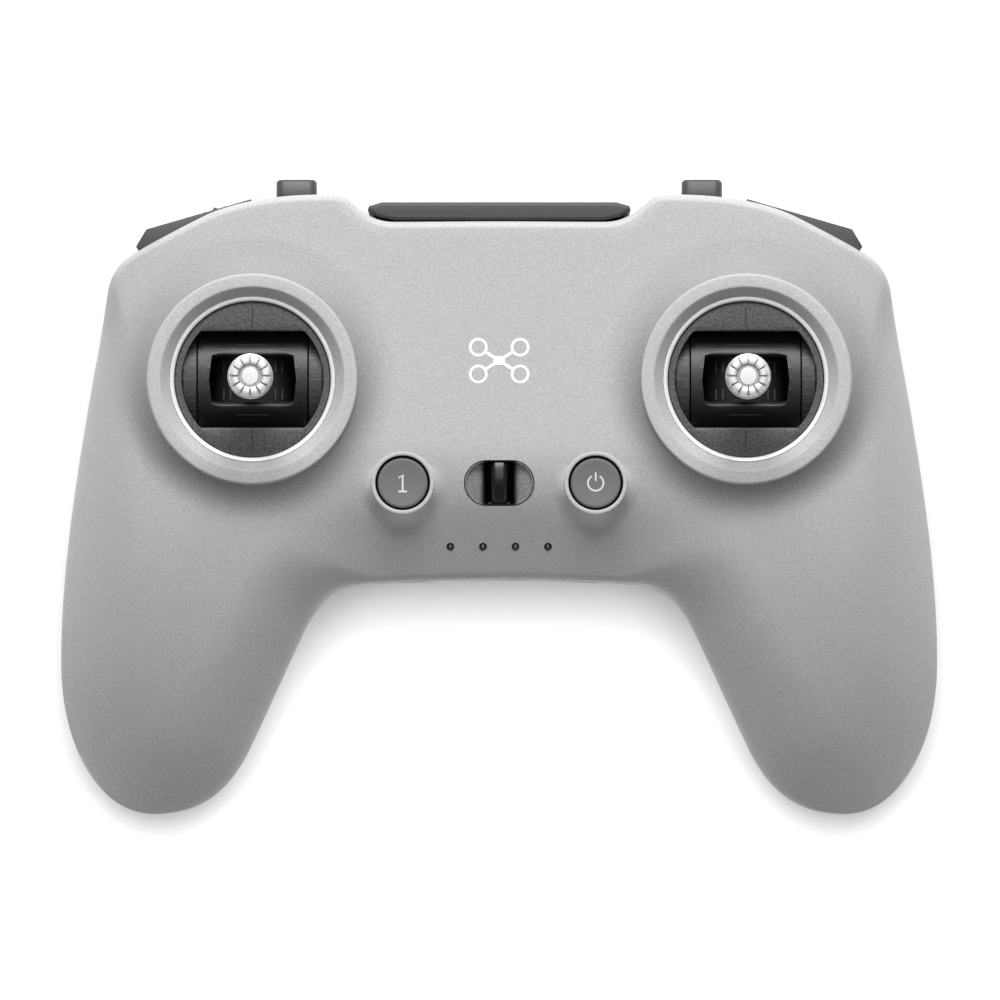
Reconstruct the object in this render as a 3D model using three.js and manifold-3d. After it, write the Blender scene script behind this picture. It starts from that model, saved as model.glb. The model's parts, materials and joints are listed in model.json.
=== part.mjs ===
// A two-stick radio transmitter of the gamepad kind, as an assembly of separate pieces.
// Millimetres. It lies on its back: +Z is out of the face, +Y towards the antenna, X across the grips.
import * as THREE from "three";
import { mergeVertices } from "three/addons/utils/BufferGeometryUtils.js";
import Module from "manifold-3d";

const wasm = await Module();
wasm.setup();

// ---- Gaps ----
const fit = 0.3; // between a piece and the opening that it sits in
const runningFit = 0.15; // round what turns or slides
const seam = 0.3; // between the two shells
const clearance = 1; // between neighbours inside the housing

// ---- Housing ----
const halfWidth = 82.5; // to the widest point of each grip
const topY = 56.3; // the two humps either side of the antenna
const notchDepth = 5; // the notch between them, which the antenna cover fills
const notchHalf = 19.5; // half of the notch's flat stretch
const apronY = -15.4; // the lower edge between the grips
const tipY = -59.5; // the grips' tips
const faceHeight = 42; // the flat of the face above the table
const partingHeight = 22; // where the two shells meet
const partingDip = 6; // how far the parting line drops towards the tips
const wall = 2; // moulded wall
const notchY = topY - notchDepth;

// ---- Gimbals ----
const gimbalInset = 36.5; // from the widest point of the grip to the gimbal's middle
const gimbalY = 21.7;
const collarRise = 2.6; // the ring round a gimbal stands this far above the face
const collarWidth = 4.15;
const collarFlat = 2.4; // width of the ring's flat top
const trimWidth = 0.65; // the bright ring's wall
const plateDrop = 2.6; // the cover plate below the collar's top
const plateThickness = 1.2;
const plateBorder = 2.25; // from the plate's opening to the well's bore
const plateLap = 1.5; // how far the plate laps over each long side of the drum
const capShow = 3; // how much of a side cap shows beyond the drum's end
const drumRadius = 10.5;
const drumWall = 1.2;
const drumDiscThick = 1.2;
const drumSink = 0.5; // the drum's crown below the plate's face
const cradleSink = 1.4; // the stick's root below the drum's wall
const cradleEndGap = 1.1; // from the stick's root to the drum's ends
const windowHalf = new THREE.Vector2(8.15, 4.93);
const windowBulge = 0.55; // how far the window's short sides bow out
const stickThrow = 27; // degrees each way on both axes
const trunnionRadius = 1.6;
const pinRadius = 1.1;
const shaftRadius = 1.7;
const stickReach = 20; // the stick's tip above the face
const knobRadius = 4.2;
const knobTeeth = 12;
const cradleRadius = drumRadius - drumWall - cradleSink;
const drumHalf = cradleRadius + cradleEndGap + drumDiscThick; // half of the drum's length along X
const openingRadius = drumHalf + capShow; // the plate's opening is this circle, cut by two straight sides
const openingHalf = drumRadius - plateLap;
const wellRadius = openingRadius + plateBorder; // the bore that the gimbal shows through
const gimbalX = halfWidth - gimbalInset;
const collarHeight = faceHeight + collarRise;
const collarRadius = wellRadius + collarWidth;
const plateTop = collarHeight - plateDrop;
const pivotHeight = plateTop - drumSink - drumRadius; // both stick axes cross here

// ---- Face controls ----
const buttonX = 18;
const controlY = 2.4; // the buttons and the lanyard recess share this line
const buttonRadius = 4.75;
const buttonGap = 0.35;
const buttonLipWidth = 0.8;
const buttonDrop = 0.1; // the lip's top below the face's flat
const buttonTravel = 0.8;
const lampY = -9.4;
const lampPitch = 6.08;
const lampRadius = 0.6;
const lanyardHalf = 6.6; // half length of the recess
const lanyardRadius = 4.25; // its end radius
const lanyardDepth = 8;
const lanyardBarWidth = 2.65;
const lanyardBarThick = 1.7;
const buttonWell = buttonRadius + buttonGap;
const buttonCollar = buttonWell + buttonLipWidth;
const buttonTop = faceHeight - buttonDrop;
const lanyardFloor = faceHeight - lanyardDepth;

// ---- Toggle switches ----
const toggleInset = 8; // from the gimbal's middle towards the antenna
const toggleSize = new THREE.Vector3(7.6, 9.5, 5); // across, reach above the pivot, thick
const toggleStand = 3.2; // the lever's tip beyond the housing's humps
const toggleDrop = 12; // its pivot below the face
const toggleThrow = 14; // degrees each way
const toggleX = gimbalX - toggleInset;
const togglePivot = new THREE.Vector2(topY + toggleStand - toggleSize.y, faceHeight - toggleDrop); // y and z

// ---- Shoulders ----
const shoulderTilt = 16.1; // degrees
const shoulderLow = 14;
const shoulderDrop = 4; // a panel's upper edge below the face
const shoulderLength = 20.4;
const shoulderInset = new THREE.Vector2(26.35, 3.55); // its middle from the grip's side and from the humps
const shoulderNose = new THREE.Vector2(2.8, 2.6); // how far a panel turns the housing's corner
const shoulderHeel = new THREE.Vector2(1.9, 5.4);
const shoulderThick = 2.8;
const smallKey = { x: 7, radius: 2.4 };
const bigKey = { x: -3.1, width: 9.4, height: 8.4 };
const keyRecess = 0.8;
const keyTravel = 0.8;
const dialX = -3.1;
const dialRadius = 6.6;
const dialProud = 0.7; // how far the dial's teeth stand above the panel
const dialWidth = 7;
const dialTeeth = 20;
const dialLift = 3; // the dial's middle above the panel's
const shoulderX = halfWidth - shoulderInset.x;
const shoulderY = topY - shoulderInset.y;
const shoulderHigh = faceHeight - shoulderDrop;
const shoulderMid = (shoulderLow + shoulderHigh) / 2;
const dialY = dialProud - dialRadius;
const dialHeight = shoulderMid + dialLift;

// ---- Antenna cover ----
const antennaStand = 3.65; // the cover's top beyond the notch
const antennaLow = 5.5;
const antennaDrop = 3.4; // its upper edge below the face
const antennaTop = notchY + antennaStand;
const antennaHigh = faceHeight - antennaDrop;

// ---- Cell, boards, port, stick stores and screws ----
const cellRadius = 9.1;
const cellLength = 65;
const cellY = 30;
const cradleThick = 0.85;
const cradleGap = 0.2; // between the cell and its cradle
const cradleLift = 0.75; // the cradle above the rear shell's floor
const boardThick = 1.6;
const frontBoardThick = 1.2;
const frontBoardDrop = 10.6; // the buttons' board below the face
const usbSize = new THREE.Vector3(8.9, 7.4, 3.2);
const usbWall = 0.35;
const storeX = 16; // the bores that hold the unscrewed sticks
const storeHeight = 15;
const storeRadius = 3.1;
const storeDepth = 19;
const bossRadius = 3.3;
const screwShank = 1.25;
const screwHead = 2.3;
const screwSeat = 8;
const screwGrip = 4; // how far a screw reaches past the parting line's highest point
const cellHeight = wall + cradleLift + cradleThick + cradleGap + cellRadius;
const boardHeight = cellHeight + cellRadius + clearance;
const boardTop = boardHeight + boardThick;
const frontBoardHeight = faceHeight - frontBoardDrop;
const usbHeight = boardHeight - usbSize.z / 2 - 2 * fit;
const screwTop = partingHeight + screwGrip;

// ---- Geometry helpers ----
const clamp01 = (x) => Math.min(1, Math.max(0, x));
const mix = (a, b, t) => a + (b - a) * t;
const smooth = (from, to, x) => {
  const t = clamp01((x - from) / (to - from));
  return t * t * (3 - 2 * t);
};
const rad = THREE.MathUtils.degToRad;

// A closed geometry as a manifold-3d solid, with triangles that have collapsed to a line left out.
function solid(geometry) {
  const bare = geometry.index ? geometry.toNonIndexed() : geometry.clone();
  for (const name of Object.keys(bare.attributes)) {
    if (name !== "position") bare.deleteAttribute(name);
  }
  const merged = mergeVertices(bare, 1e-4);
  const index = merged.index.array;
  const kept = [];
  for (let i = 0; i < index.length; i += 3) {
    const [a, b, c] = [index[i], index[i + 1], index[i + 2]];
    if (a !== b && b !== c && a !== c) kept.push(a, b, c);
  }
  const vertProperties = merged.attributes.position.array;
  const build = (triVerts) =>
    new wasm.Manifold(new wasm.Mesh({ numProp: 3, vertProperties, triVerts: new Uint32Array(triVerts) }));
  const made = build(kept);
  if (made.volume() > 0) return made;
  for (let i = 0; i < kept.length; i += 3) [kept[i], kept[i + 1]] = [kept[i + 1], kept[i]];
  return build(kept);
}

function geometryOf(made) {
  const mesh = made.getMesh();
  const positions = new Float32Array(mesh.numVert * 3);
  for (let i = 0; i < mesh.numVert; i++) {
    positions.set(mesh.vertProperties.subarray(i * mesh.numProp, i * mesh.numProp + 3), i * 3);
  }
  const geometry = new THREE.BufferGeometry();
  geometry.setAttribute("position", new THREE.BufferAttribute(positions, 3));
  geometry.setIndex(new THREE.BufferAttribute(mesh.triVerts, 1));
  geometry.computeVertexNormals();
  return geometry;
}

// A solid carried by a three.js matrix.
function moved(made, matrix) {
  const geometry = geometryOf(made).applyMatrix4(matrix);
  const triVerts = made.getMesh().triVerts.slice();
  if (matrix.determinant() < 0) {
    for (let i = 0; i < triVerts.length; i += 3) {
      [triVerts[i], triVerts[i + 1]] = [triVerts[i + 1], triVerts[i]];
    }
  }
  const vertProperties = geometry.attributes.position.array;
  return new wasm.Manifold(new wasm.Mesh({ numProp: 3, vertProperties, triVerts }));
}
const at = (made, x, y, z = 0) => moved(made, new THREE.Matrix4().makeTranslation(x, y, z));
const mirrored = (made) => moved(made, new THREE.Matrix4().makeScale(-1, 1, 1));
const aboutX = (made, degrees) => moved(made, new THREE.Matrix4().makeRotationX(rad(degrees)));
const aboutZ = (made, degrees) => moved(made, new THREE.Matrix4().makeRotationZ(rad(degrees)));

function block(x0, x1, y0, y1, z0, z1) {
  const box = new THREE.BoxGeometry(x1 - x0, y1 - y0, z1 - z0);
  return solid(box.translate((x0 + x1) / 2, (y0 + y1) / 2, (z0 + z1) / 2));
}

// A cylinder along Z from z0 to z1.
function post(radius, z0, z1, sides = 20) {
  const cylinder = new THREE.CylinderGeometry(radius, radius, z1 - z0, sides);
  return solid(cylinder.rotateX(Math.PI / 2).translate(0, 0, (z0 + z1) / 2));
}

// Cylinders along X and Y, centred on the origin.
const axleX = (radius, half, sides = 20) =>
  solid(new THREE.CylinderGeometry(radius, radius, 2 * half, sides).rotateZ(Math.PI / 2));
const axleY = (radius, half, sides = 20) =>
  solid(new THREE.CylinderGeometry(radius, radius, 2 * half, sides));

// A body of revolution about Z from pairs of radius and height.
function turned(profile, sides = 32) {
  const points = profile.map(([r, z]) => new THREE.Vector2(r, z));
  return solid(new THREE.LatheGeometry(points, sides).rotateX(Math.PI / 2));
}

// An upright prism over a shape, with its two rims bevelled where bevel is more than 0.
function prism(shape, z0, z1, curveSegments = 12, bevel = 0) {
  const bevelled = { bevelThickness: bevel, bevelSize: bevel, bevelOffset: -bevel, bevelSegments: 1 };
  const options = { depth: z1 - z0 - 2 * bevel, curveSegments, bevelEnabled: bevel > 0, ...bevelled };
  return solid(new THREE.ExtrudeGeometry(shape, options).translate(0, 0, z0 + bevel));
}

const polygon = (points) => new THREE.Shape(points.map(([x, y]) => new THREE.Vector2(x, y)));
const disc = (radius) => new THREE.Shape().absarc(0, 0, radius, 0, 2 * Math.PI);

function roundedRectangle(width, height, radius) {
  const [x, y] = [width / 2 - radius, height / 2 - radius];
  const shape = new THREE.Shape();
  shape.absarc(x, -y, radius, -Math.PI / 2, 0);
  shape.absarc(x, y, radius, 0, Math.PI / 2);
  shape.absarc(-x, y, radius, Math.PI / 2, Math.PI);
  shape.absarc(-x, -y, radius, Math.PI, 1.5 * Math.PI);
  shape.closePath();
  return shape;
}

const stadium = (half, radius) => roundedRectangle(2 * half, 2 * radius, radius - 1e-4);

// A star-shaped outline from a list of [share of a step, radius] corners, repeated round the circle.
function toothed(teeth, corners) {
  const points = [];
  for (let i = 0; i < teeth; i++) {
    for (const [share, radius] of corners) {
      const angle = ((i + share) / teeth) * 2 * Math.PI;
      points.push([radius * Math.cos(angle), radius * Math.sin(angle)]);
    }
  }
  return polygon(points);
}

// ---- The planform ----
// Each stretch of the right half's outline is a cubic from the last point:
// [end, first control, second control, steps].
// The outer edge runs from the middle of the notch over the shoulder to the grip's tip.
const third = notchHalf / 3;
const outerStretches = [
  [[notchHalf, notchY - 0.1], [third, notchY], [2 * third, notchY - 0.1], 1],
  [[notchHalf + 8.1, notchY + 3.5], [notchHalf + 3.1, notchY - 0.1], [notchHalf + 5.1, notchY + 0.9], 2],
  [[notchHalf + 12, topY], [notchHalf + 9.3, notchY + 4.6], [notchHalf + 10.1, topY], 2],
  [[halfWidth - 27.6, topY - 3.9], [halfWidth - 42, topY + 0.1], [halfWidth - 34, topY - 1], 3],
  [[halfWidth - 15.5, topY - 10.1], [halfWidth - 23.5, topY - 5.9], [halfWidth - 19.5, topY - 8], 2],
  [[halfWidth - 9.1, topY - 17.9], [halfWidth - 12.1, topY - 11.9], [halfWidth - 9.9, topY - 14.1], 3],
  [[halfWidth, tipY + 28.5], [halfWidth - 5.9, topY - 35.8], [halfWidth, tipY + 51.5], 5],
  [[halfWidth - 17.5, tipY], [halfWidth, tipY + 12], [halfWidth - 7.3, tipY], 8],
];
// The inner edge runs from the middle of the apron round the crotch to the same tip.
const innerStretches = [
  [[halfWidth - 57, apronY - 0.8], [8, apronY], [halfWidth - 65.5, apronY - 0.3], 3],
  [[halfWidth - 46.1, apronY - 8.9], [halfWidth - 52.7, apronY - 1.1], [halfWidth - 49.3, apronY - 2.8], 5],
  [[halfWidth - 35.1, tipY + 11.5], [halfWidth - 42.5, apronY - 16.6], [halfWidth - 38.5, tipY + 18.5], 12],
  [[halfWidth - 17.5, tipY], [halfWidth - 31.2, tipY + 4], [halfWidth - 26, tipY], 6],
];

function traced(start, stretches) {
  const points = [new THREE.Vector2(...start)];
  for (const [end, first, second, steps] of stretches) {
    const corners = [first, second, end].map((point) => new THREE.Vector2(...point));
    points.push(...new THREE.CubicBezierCurve(points.at(-1), ...corners).getPoints(steps).slice(1));
  }
  return points;
}

const outerEdge = traced([0, notchY], outerStretches);
const innerEdge = traced([0, apronY], innerStretches);
const ribCount = outerEdge.length - 1;

// The edge moved inwards along its own normal. Turn is -1 or 1, for which side is inside.
function inset(edge, by, turn) {
  return edge.map((point, i) => {
    const before = edge[Math.max(0, i - 1)];
    const after = edge[Math.min(edge.length - 1, i + 1)];
    const along = after.clone().sub(before).normalize();
    const inwards = new THREE.Vector2(-along.y * turn, along.x * turn);
    if (i === 0) inwards.set(0, Math.sign(inwards.y));
    if (i === edge.length - 1) inwards.set(0, 1);
    return point.clone().addScaledVector(inwards, by);
  });
}

function distanceTo(edge, x, y) {
  let best = Infinity;
  for (let i = 0; i + 1 < edge.length; i++) {
    const [a, b] = [edge[i], edge[i + 1]];
    const [dx, dy] = [b.x - a.x, b.y - a.y];
    const t = clamp01(((x - a.x) * dx + (y - a.y) * dy) / (dx * dx + dy * dy));
    best = Math.min(best, Math.hypot(x - a.x - t * dx, y - a.y - t * dy));
  }
  return best;
}

// Distance to the outline. Where both edges are about as near, as along a grip's spine, their distances
// blend, so the two rounded sides meet without a crease.
function edgeDistance(x, y) {
  const [outer, inner] = [outerEdge, innerEdge].map((edge) => distanceTo(edge, x, y) + 1e-6);
  return (outer ** -4 + inner ** -4) ** -0.25;
}

// ---- The two skins as heights over the planform ----
const apronBend = { start: 10, radius: 28, angle: rad(30) };
const gripDroop = 0.0042; // how fast the face falls along a grip
const sideDroop = 0.012; // and towards the grip's side
const backValley = 5; // depth of the finger valley between the cell's hump and a palm swell

// The face bends down below the buttons on an arc, then runs straight to the lower edge.
function apronFall(y) {
  const along = apronBend.start - y;
  const straight = apronBend.radius * Math.sin(apronBend.angle);
  if (along <= 0) return 0;
  if (along < straight) return apronBend.radius - Math.sqrt(apronBend.radius ** 2 - along ** 2);
  return apronBend.radius * (1 - Math.cos(apronBend.angle)) + (along - straight) * Math.tan(apronBend.angle);
}

// 0 over the middle of the housing and along the shoulders, 1 on the grips.
const gripShare = (x, y) =>
  smooth(halfWidth - 60.5, halfWidth - 36.5, x) * smooth(topY - 12, topY - 28, y);

const partingZ = (y) => partingHeight - partingDip * clamp01((4 - y) / 62) ** 2;

function faceZ(x, y) {
  const grip = gripDroop * Math.max(0, 12 - y) ** 2;
  const side = sideDroop * Math.max(0, x - (halfWidth - 30)) ** 2;
  return faceHeight - mix(apronFall(y), grip, smooth(halfWidth - 62.5, halfWidth - 36.5, x)) - side;
}

// The back: a flat hump over the cell, a palm swell on each grip, and a finger valley between them.
function backZ(x, y) {
  const hump = smooth(halfWidth - 34, halfWidth - 46.5, x) * smooth(0, 14, y);
  const swell = Math.exp(-(((x - (halfWidth - 18.5)) / 20) ** 2) - ((y - (tipY + 25.5)) / 22) ** 2);
  return Math.max(0, backValley * (1 - hump - swell));
}

// A skin's level over the planform, the radius that its edge rolls over with, and the share of its side
// that stands upright from the parting line before it rolls.
const skins = {
  front: {
    up: 1,
    level: faceZ,
    round: (x, y) => mix(1.4, 5 + 10 * smooth(38, -20, y), gripShare(x, y)),
    upright: (x, y) => mix(0.88, 0.08, gripShare(x, y)),
  },
  rear: {
    up: -1,
    level: backZ,
    round: (x, y) => mix(7, 15, gripShare(x, y)),
    upright: (x, y) => mix(0.62, 0.06, gripShare(x, y)),
  },
};

// The skin's height, pulled in by thickness, at a point that is distance from its edge.
function skinZ(skin, x, y, distance, thickness) {
  const base = partingZ(y);
  const level = skin.level(x, y) - skin.up * thickness;
  const upright = (skin.level(x, y) - base) * skin.upright(x, y);
  const share = clamp01(distance / Math.max(0.6, skin.round(x, y) - thickness));
  const roll = Math.sqrt(1 - (1 - share) ** 2);
  return mix(base + upright - skin.up * thickness * 0.5, level, roll);
}

// Rows along a rib: how its rounded ends are stepped, and where the rows between them lie.
const frontRows = { everyRib: 1, roll: [0, 35, 65, 90].map(rad), middle: [0.4, 0.65, 0.8] };
const rearRows = { everyRib: 1, roll: [0, 48, 90].map(rad), middle: [0.4, 0.75] };
const frontCavityRows = { everyRib: 2, roll: [0, 48, 90].map(rad), middle: [0.4, 0.6, 0.71, 0.83] };
const rearCavityRows = { everyRib: 2, roll: [0, 48, 90].map(rad), middle: [0.35, 0.7] };

// One rib of a skin, as points from the parting surface over the skin and down to it again.
function rib(skin, a, b, thickness, basePush, rows) {
  const length = a.distanceTo(b);
  const [roundA, roundB] = [a, b].map((p) => skin.round(p.x, p.y));
  const squeeze = Math.min(1, length / (roundA + roundB));
  const rollSteps = (round) => rows.roll.map((angle) => round * squeeze * (1 - Math.cos(angle)));
  const [first, last] = [rollSteps(roundA), rollSteps(roundB).map((d) => length - d).reverse()];
  const middle = rows.middle.map((share) => mix(first.at(-1), last[0], share));
  const places = [...first, ...middle, ...last].map((d) => a.clone().lerp(b, length > 1e-6 ? d / length : 0));
  const skinRow = places.map((p, i) => {
    const onEdge = i === 0 || i === places.length - 1;
    const distance = onEdge ? 0 : Math.max(0, edgeDistance(p.x, p.y) - thickness);
    return new THREE.Vector3(p.x, p.y, skinZ(skin, p.x, p.y, distance, thickness));
  });
  const foot = (p) => new THREE.Vector3(p.x, p.y, partingZ(p.y) + basePush);
  return [foot(a), ...skinRow, foot(b)];
}

// A closed body between a skin and the parting surface: ribs from the outer edge to the inner one,
// joined by quads and mirrored across the middle.
function body(skin, thickness, basePush, rows) {
  const [outer, inner] = [inset(outerEdge, thickness, -1), inset(innerEdge, thickness, 1)];
  const kept = outer.map((_, k) => k).filter((k) => k % rows.everyRib === 0 || k === ribCount);
  const ribs = kept.map((k) => rib(skin, outer[k], inner[k], thickness, basePush, rows));
  const positions = [];
  const triangle = (p, q, r) => {
    positions.push(...p.toArray(), ...q.toArray(), ...r.toArray());
    for (const v of [q, p, r]) positions.push(-v.x, v.y, v.z);
  };
  for (let k = 0; k + 1 < ribs.length; k++) {
    const [here, next] = [ribs[k], ribs[k + 1]];
    for (let i = 0; i < here.length; i++) {
      const j = (i + 1) % here.length;
      triangle(here[i], here[j], next[j]);
      triangle(here[i], next[j], next[i]);
    }
  }
  const geometry = new THREE.BufferGeometry();
  geometry.setAttribute("position", new THREE.BufferAttribute(new Float32Array(positions), 3));
  return solid(geometry);
}

// ---- Materials ----
const material = (color, roughness, metalness = 0) =>
  new THREE.MeshStandardMaterial({ color, roughness, metalness });
const shellGrey = material(0xb4b4b4, 0.62);
const darkGrey = material(0x4c4c4e, 0.5);
const satinBlack = material(0x1b1b1d, 0.42);
const buttonGrey = material(0x6c6d70, 0.45);
const brightMetal = material(0xe4e4e4, 0.25, 0.9);
const steel = material(0x8d8f92, 0.35, 0.9);
const boardGreen = material(0x1f4a34, 0.5);
const cellBlue = material(0x2d5f8a, 0.4);
const lampGlass = material(0x2a2a2c, 0.15);

const transmitter = new THREE.Group();

function add(parent, name, made, finish, position = [0, 0, 0]) {
  const mesh = new THREE.Mesh(geometryOf(made), finish);
  mesh.name = name;
  mesh.position.set(...position);
  parent.add(mesh);
}

const bothSides = [["left", -1], ["right", 1]];

// ---- Cuts that more than one piece shares ----
// A shoulder panel's prism in its own frame: +Y out of its outer face, X along it and outwards.
function shoulderPrism(margin, low, high) {
  const half = shoulderLength / 2;
  const outline = [
    [-half - margin, margin],
    [half + margin * 0.6, margin],
    [half + shoulderNose.x + margin, margin * 0.4 - shoulderNose.y],
    [half + shoulderHeel.x + margin, -shoulderHeel.y - margin],
    [-half - margin, -shoulderThick - margin],
  ];
  return prism(polygon(outline), low, high);
}
const onShoulder = (made, side) =>
  at(aboutZ(side < 0 ? mirrored(made) : made, -side * shoulderTilt), side * shoulderX, shoulderY);
const shoulderWindow = (side) => onShoulder(shoulderPrism(fit, shoulderLow - fit, shoulderHigh + fit), side);

// The room that the dial turns in, in the same frame.
function dialRoom() {
  const half = dialWidth / 2 + fit + 0.1;
  return at(post(dialRadius + fit + 0.1, dialHeight - half, dialHeight + half), dialX, dialY);
}

// The slot that a toggle's lever swings in, cut through the housing's upper side.
function toggleSlot(side) {
  const swing = (toggleSize.y - toggleStand) * Math.sin(rad(toggleThrow));
  const half = toggleSize.z / 2 + swing + fit;
  const slot = prism(roundedRectangle(toggleSize.x + 2 * fit, 2 * half, 1.2), -8, 8, 3);
  return at(aboutX(slot, 90), side * toggleX, topY, togglePivot.y);
}

function usbHole() {
  const hole = prism(stadium(usbSize.x / 2 + fit, usbSize.z / 2 + fit), -4, 4, 3);
  return at(aboutX(hole, 90), 0, apronY, usbHeight);
}

// The opening behind the antenna cover, that its tongue plugs into.
const tongueDepth = 2.8;
const tongueInset = new THREE.Vector2(4.2, 3.2); // from the cover's lower and upper edges
const antennaWindow = () =>
  block(
    -notchHalf,
    notchHalf,
    notchY - tongueDepth - 0.7,
    notchY + 2,
    antennaLow + tongueInset.x - 0.4,
    antennaHigh - tongueInset.y + 0.4,
  );

function screwPlaces() {
  return bothSides.flatMap(([name, side]) => [
    [`${name}_top`, side * (notchHalf + 2.5), topY - 10.3],
    [`${name}_waist`, side * (halfWidth - 52.5), apronY + 7.4],
    [`${name}_grip`, side * (halfWidth - 16.5), tipY + 25.5],
  ]);
}

// ---- Front shell ----
const ringSides = 24;
const lipSides = 16;

// The hollow sweep from a raised ring's rim down to the face, as pairs of radius and height: a fall of
// drop that levels off over spread, and a slope that carries on beneath the face.
function flare(radius, top, drop, spread, slope, reach, steps) {
  const points = [];
  for (let i = 0; i <= steps; i++) {
    const out = reach * (i / steps) ** 1.5;
    points.push([radius + out, top - drop * (1 - Math.exp(-out / spread)) - slope * out]);
  }
  return points;
}

// A raised ring with its sweep, rooted below the face. Its bore is cut later.
function raisedRing(inside, outside, top, chamfer, sweep, root, sides) {
  const profile = [
    [inside, root],
    [inside, top],
    [outside - chamfer, top],
    ...sweep,
    [sweep.at(-1)[0], root],
    [inside, root],
  ];
  return turned(profile, sides);
}

function gimbalCollar() {
  const sweep = flare(collarRadius, collarHeight - 0.3, 3, 2, 0.75, 5.2, 3);
  return raisedRing(wellRadius - 2, collarRadius, collarHeight, 0.3, sweep, faceHeight - 7, ringSides);
}

function buttonLip() {
  const sweep = flare(buttonCollar, buttonTop - 0.15, 1.5, 0.9, 0.5, 3, 2);
  return raisedRing(buttonWell - 1, buttonCollar, buttonTop, 0.15, sweep, faceHeight - 4, lipSides);
}

// What is taken out of a collar: the bore, then a cone that opens to the ring's flat top.
function gimbalWell() {
  const profile = [
    [0, faceHeight - 8],
    [wellRadius, faceHeight - 8],
    [wellRadius, plateTop + 0.8],
    [collarRadius - collarFlat, collarHeight],
    [collarRadius - collarFlat, collarHeight + 1],
    [0, collarHeight + 1],
  ];
  return turned(profile, ringSides);
}

// A screw boss from just short of the parting surface to inside the wall of its shell.
function boss(skin, outer, x, y) {
  const root = skinZ(skin, Math.abs(x), y, edgeDistance(Math.abs(x), y), 0) - skin.up * 0.6 * wall;
  const ends = [partingZ(y) + skin.up * (seam / 2 + 0.4), root].sort((a, b) => a - b);
  return at(post(bossRadius, ...ends, 8), x, y).intersect(outer);
}
const screwHole = (x, y, z0, z1) => at(post(screwShank + 2 * runningFit, z0, z1, 6), x, y);

const frontOuter = body(skins.front, 0, seam / 2, frontRows);
function frontShell() {
  let shell = frontOuter;
  for (const [, side] of bothSides) {
    shell = shell.add(at(gimbalCollar(), side * gimbalX, gimbalY));
    shell = shell.add(at(buttonLip(), side * buttonX, controlY));
  }
  shell = shell.subtract(body(skins.front, wall, -wall, frontCavityRows));
  const buttonBore = post(buttonWell, faceHeight - 12, faceHeight + 3, lipSides);
  const lampBore = post(lampRadius + runningFit, partingHeight, faceHeight, 6);
  for (const [, side] of bothSides) {
    shell = shell.subtract(at(gimbalWell(), side * gimbalX, gimbalY));
    shell = shell.subtract(at(buttonBore, side * buttonX, controlY));
    for (const lamp of [0.5, 1.5]) {
      shell = shell.subtract(at(lampBore, side * lamp * lampPitch, lampY));
    }
    shell = shell.subtract(toggleSlot(side)).subtract(shoulderWindow(side));
  }
  const recess = prism(stadium(lanyardHalf, lanyardRadius), faceHeight - 12, faceHeight + 3, 4);
  shell = shell.subtract(at(recess, 0, controlY)).subtract(onShoulder(dialRoom(), -1));
  shell = shell.subtract(antennaWindow()).subtract(usbHole());
  for (const [, x, y] of screwPlaces()) {
    shell = shell.add(boss(skins.front, frontOuter, x, y));
    shell = shell.subtract(screwHole(x, y, partingZ(y) - clearance, screwTop + clearance));
  }
  return shell;
}
add(transmitter, "front_shell", frontShell(), shellGrey);

// ---- Rear shell ----
const rearOuter = body(skins.rear, 0, -seam / 2, rearRows);
function rearShell() {
  let shell = rearOuter.subtract(body(skins.rear, wall, wall, rearCavityRows));
  for (const [, x, y] of screwPlaces()) {
    shell = shell.add(boss(skins.rear, rearOuter, x, y));
    shell = shell.subtract(screwHole(x, y, -1, partingHeight));
    shell = shell.subtract(at(post(screwHead + fit, -1, screwSeat, 8), x, y));
  }
  const sleeve = axleY(storeRadius + 1.3, storeDepth / 2 + 1, 10);
  const bore = axleY(storeRadius, storeDepth / 2, 10);
  for (const [, side] of bothSides) {
    const middle = apronY + storeDepth / 2;
    shell = shell.subtract(shoulderWindow(side));
    shell = shell.add(at(sleeve, side * storeX, middle, storeHeight).intersect(rearOuter));
    shell = shell.subtract(at(bore, side * storeX, middle - 1.5, storeHeight));
  }
  return shell.subtract(antennaWindow()).subtract(usbHole());
}
add(transmitter, "rear_shell", rearShell(), shellGrey);

// ---- Antenna cover and aerial ----
function antennaCover() {
  const edge = notchY + fit;
  const rightHalf = [
    [notchHalf, edge],
    [notchHalf + 3, edge + 0.65],
    [notchHalf + 5.1, edge + 1.9],
    [notchHalf + 4.8, antennaTop - 0.7],
    [notchHalf + 2.4, antennaTop],
  ];
  const leftHalf = rightHalf.map(([x, y]) => [-x, y]).reverse();
  const cap = prism(polygon([...rightHalf, ...leftHalf]), antennaLow, antennaHigh, 4, 0.5);
  const [low, high] = [antennaLow + tongueInset.x, antennaHigh - tongueInset.y];
  return cap.add(block(fit - notchHalf, notchHalf - fit, notchY - tongueDepth, edge + 1, low, high));
}
add(transmitter, "antenna_cover", antennaCover(), darkGrey);

// The aerial: a board that lies just behind the cover's tongue.
const aerialFace = notchY - tongueDepth - 0.4;
const aerialBoard = block(
  -notchHalf + 2.5,
  notchHalf - 2.5,
  aerialFace - 1,
  aerialFace,
  antennaLow + tongueInset.x - 0.7,
  antennaHigh - tongueInset.y,
);
add(transmitter, "antenna_board", aerialBoard, boardGreen);

// ---- A gimbal, in its own frame: the origin is where its two axes cross ----
const plateFace = plateTop - pivotHeight;
const plateUnder = plateFace - plateThickness;

function openingShape() {
  const corner = Math.asin(openingHalf / openingRadius);
  const shape = new THREE.Shape();
  shape.absarc(0, 0, openingRadius, -corner, corner);
  shape.absarc(0, 0, openingRadius, Math.PI - corner, Math.PI + corner);
  return shape;
}

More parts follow.
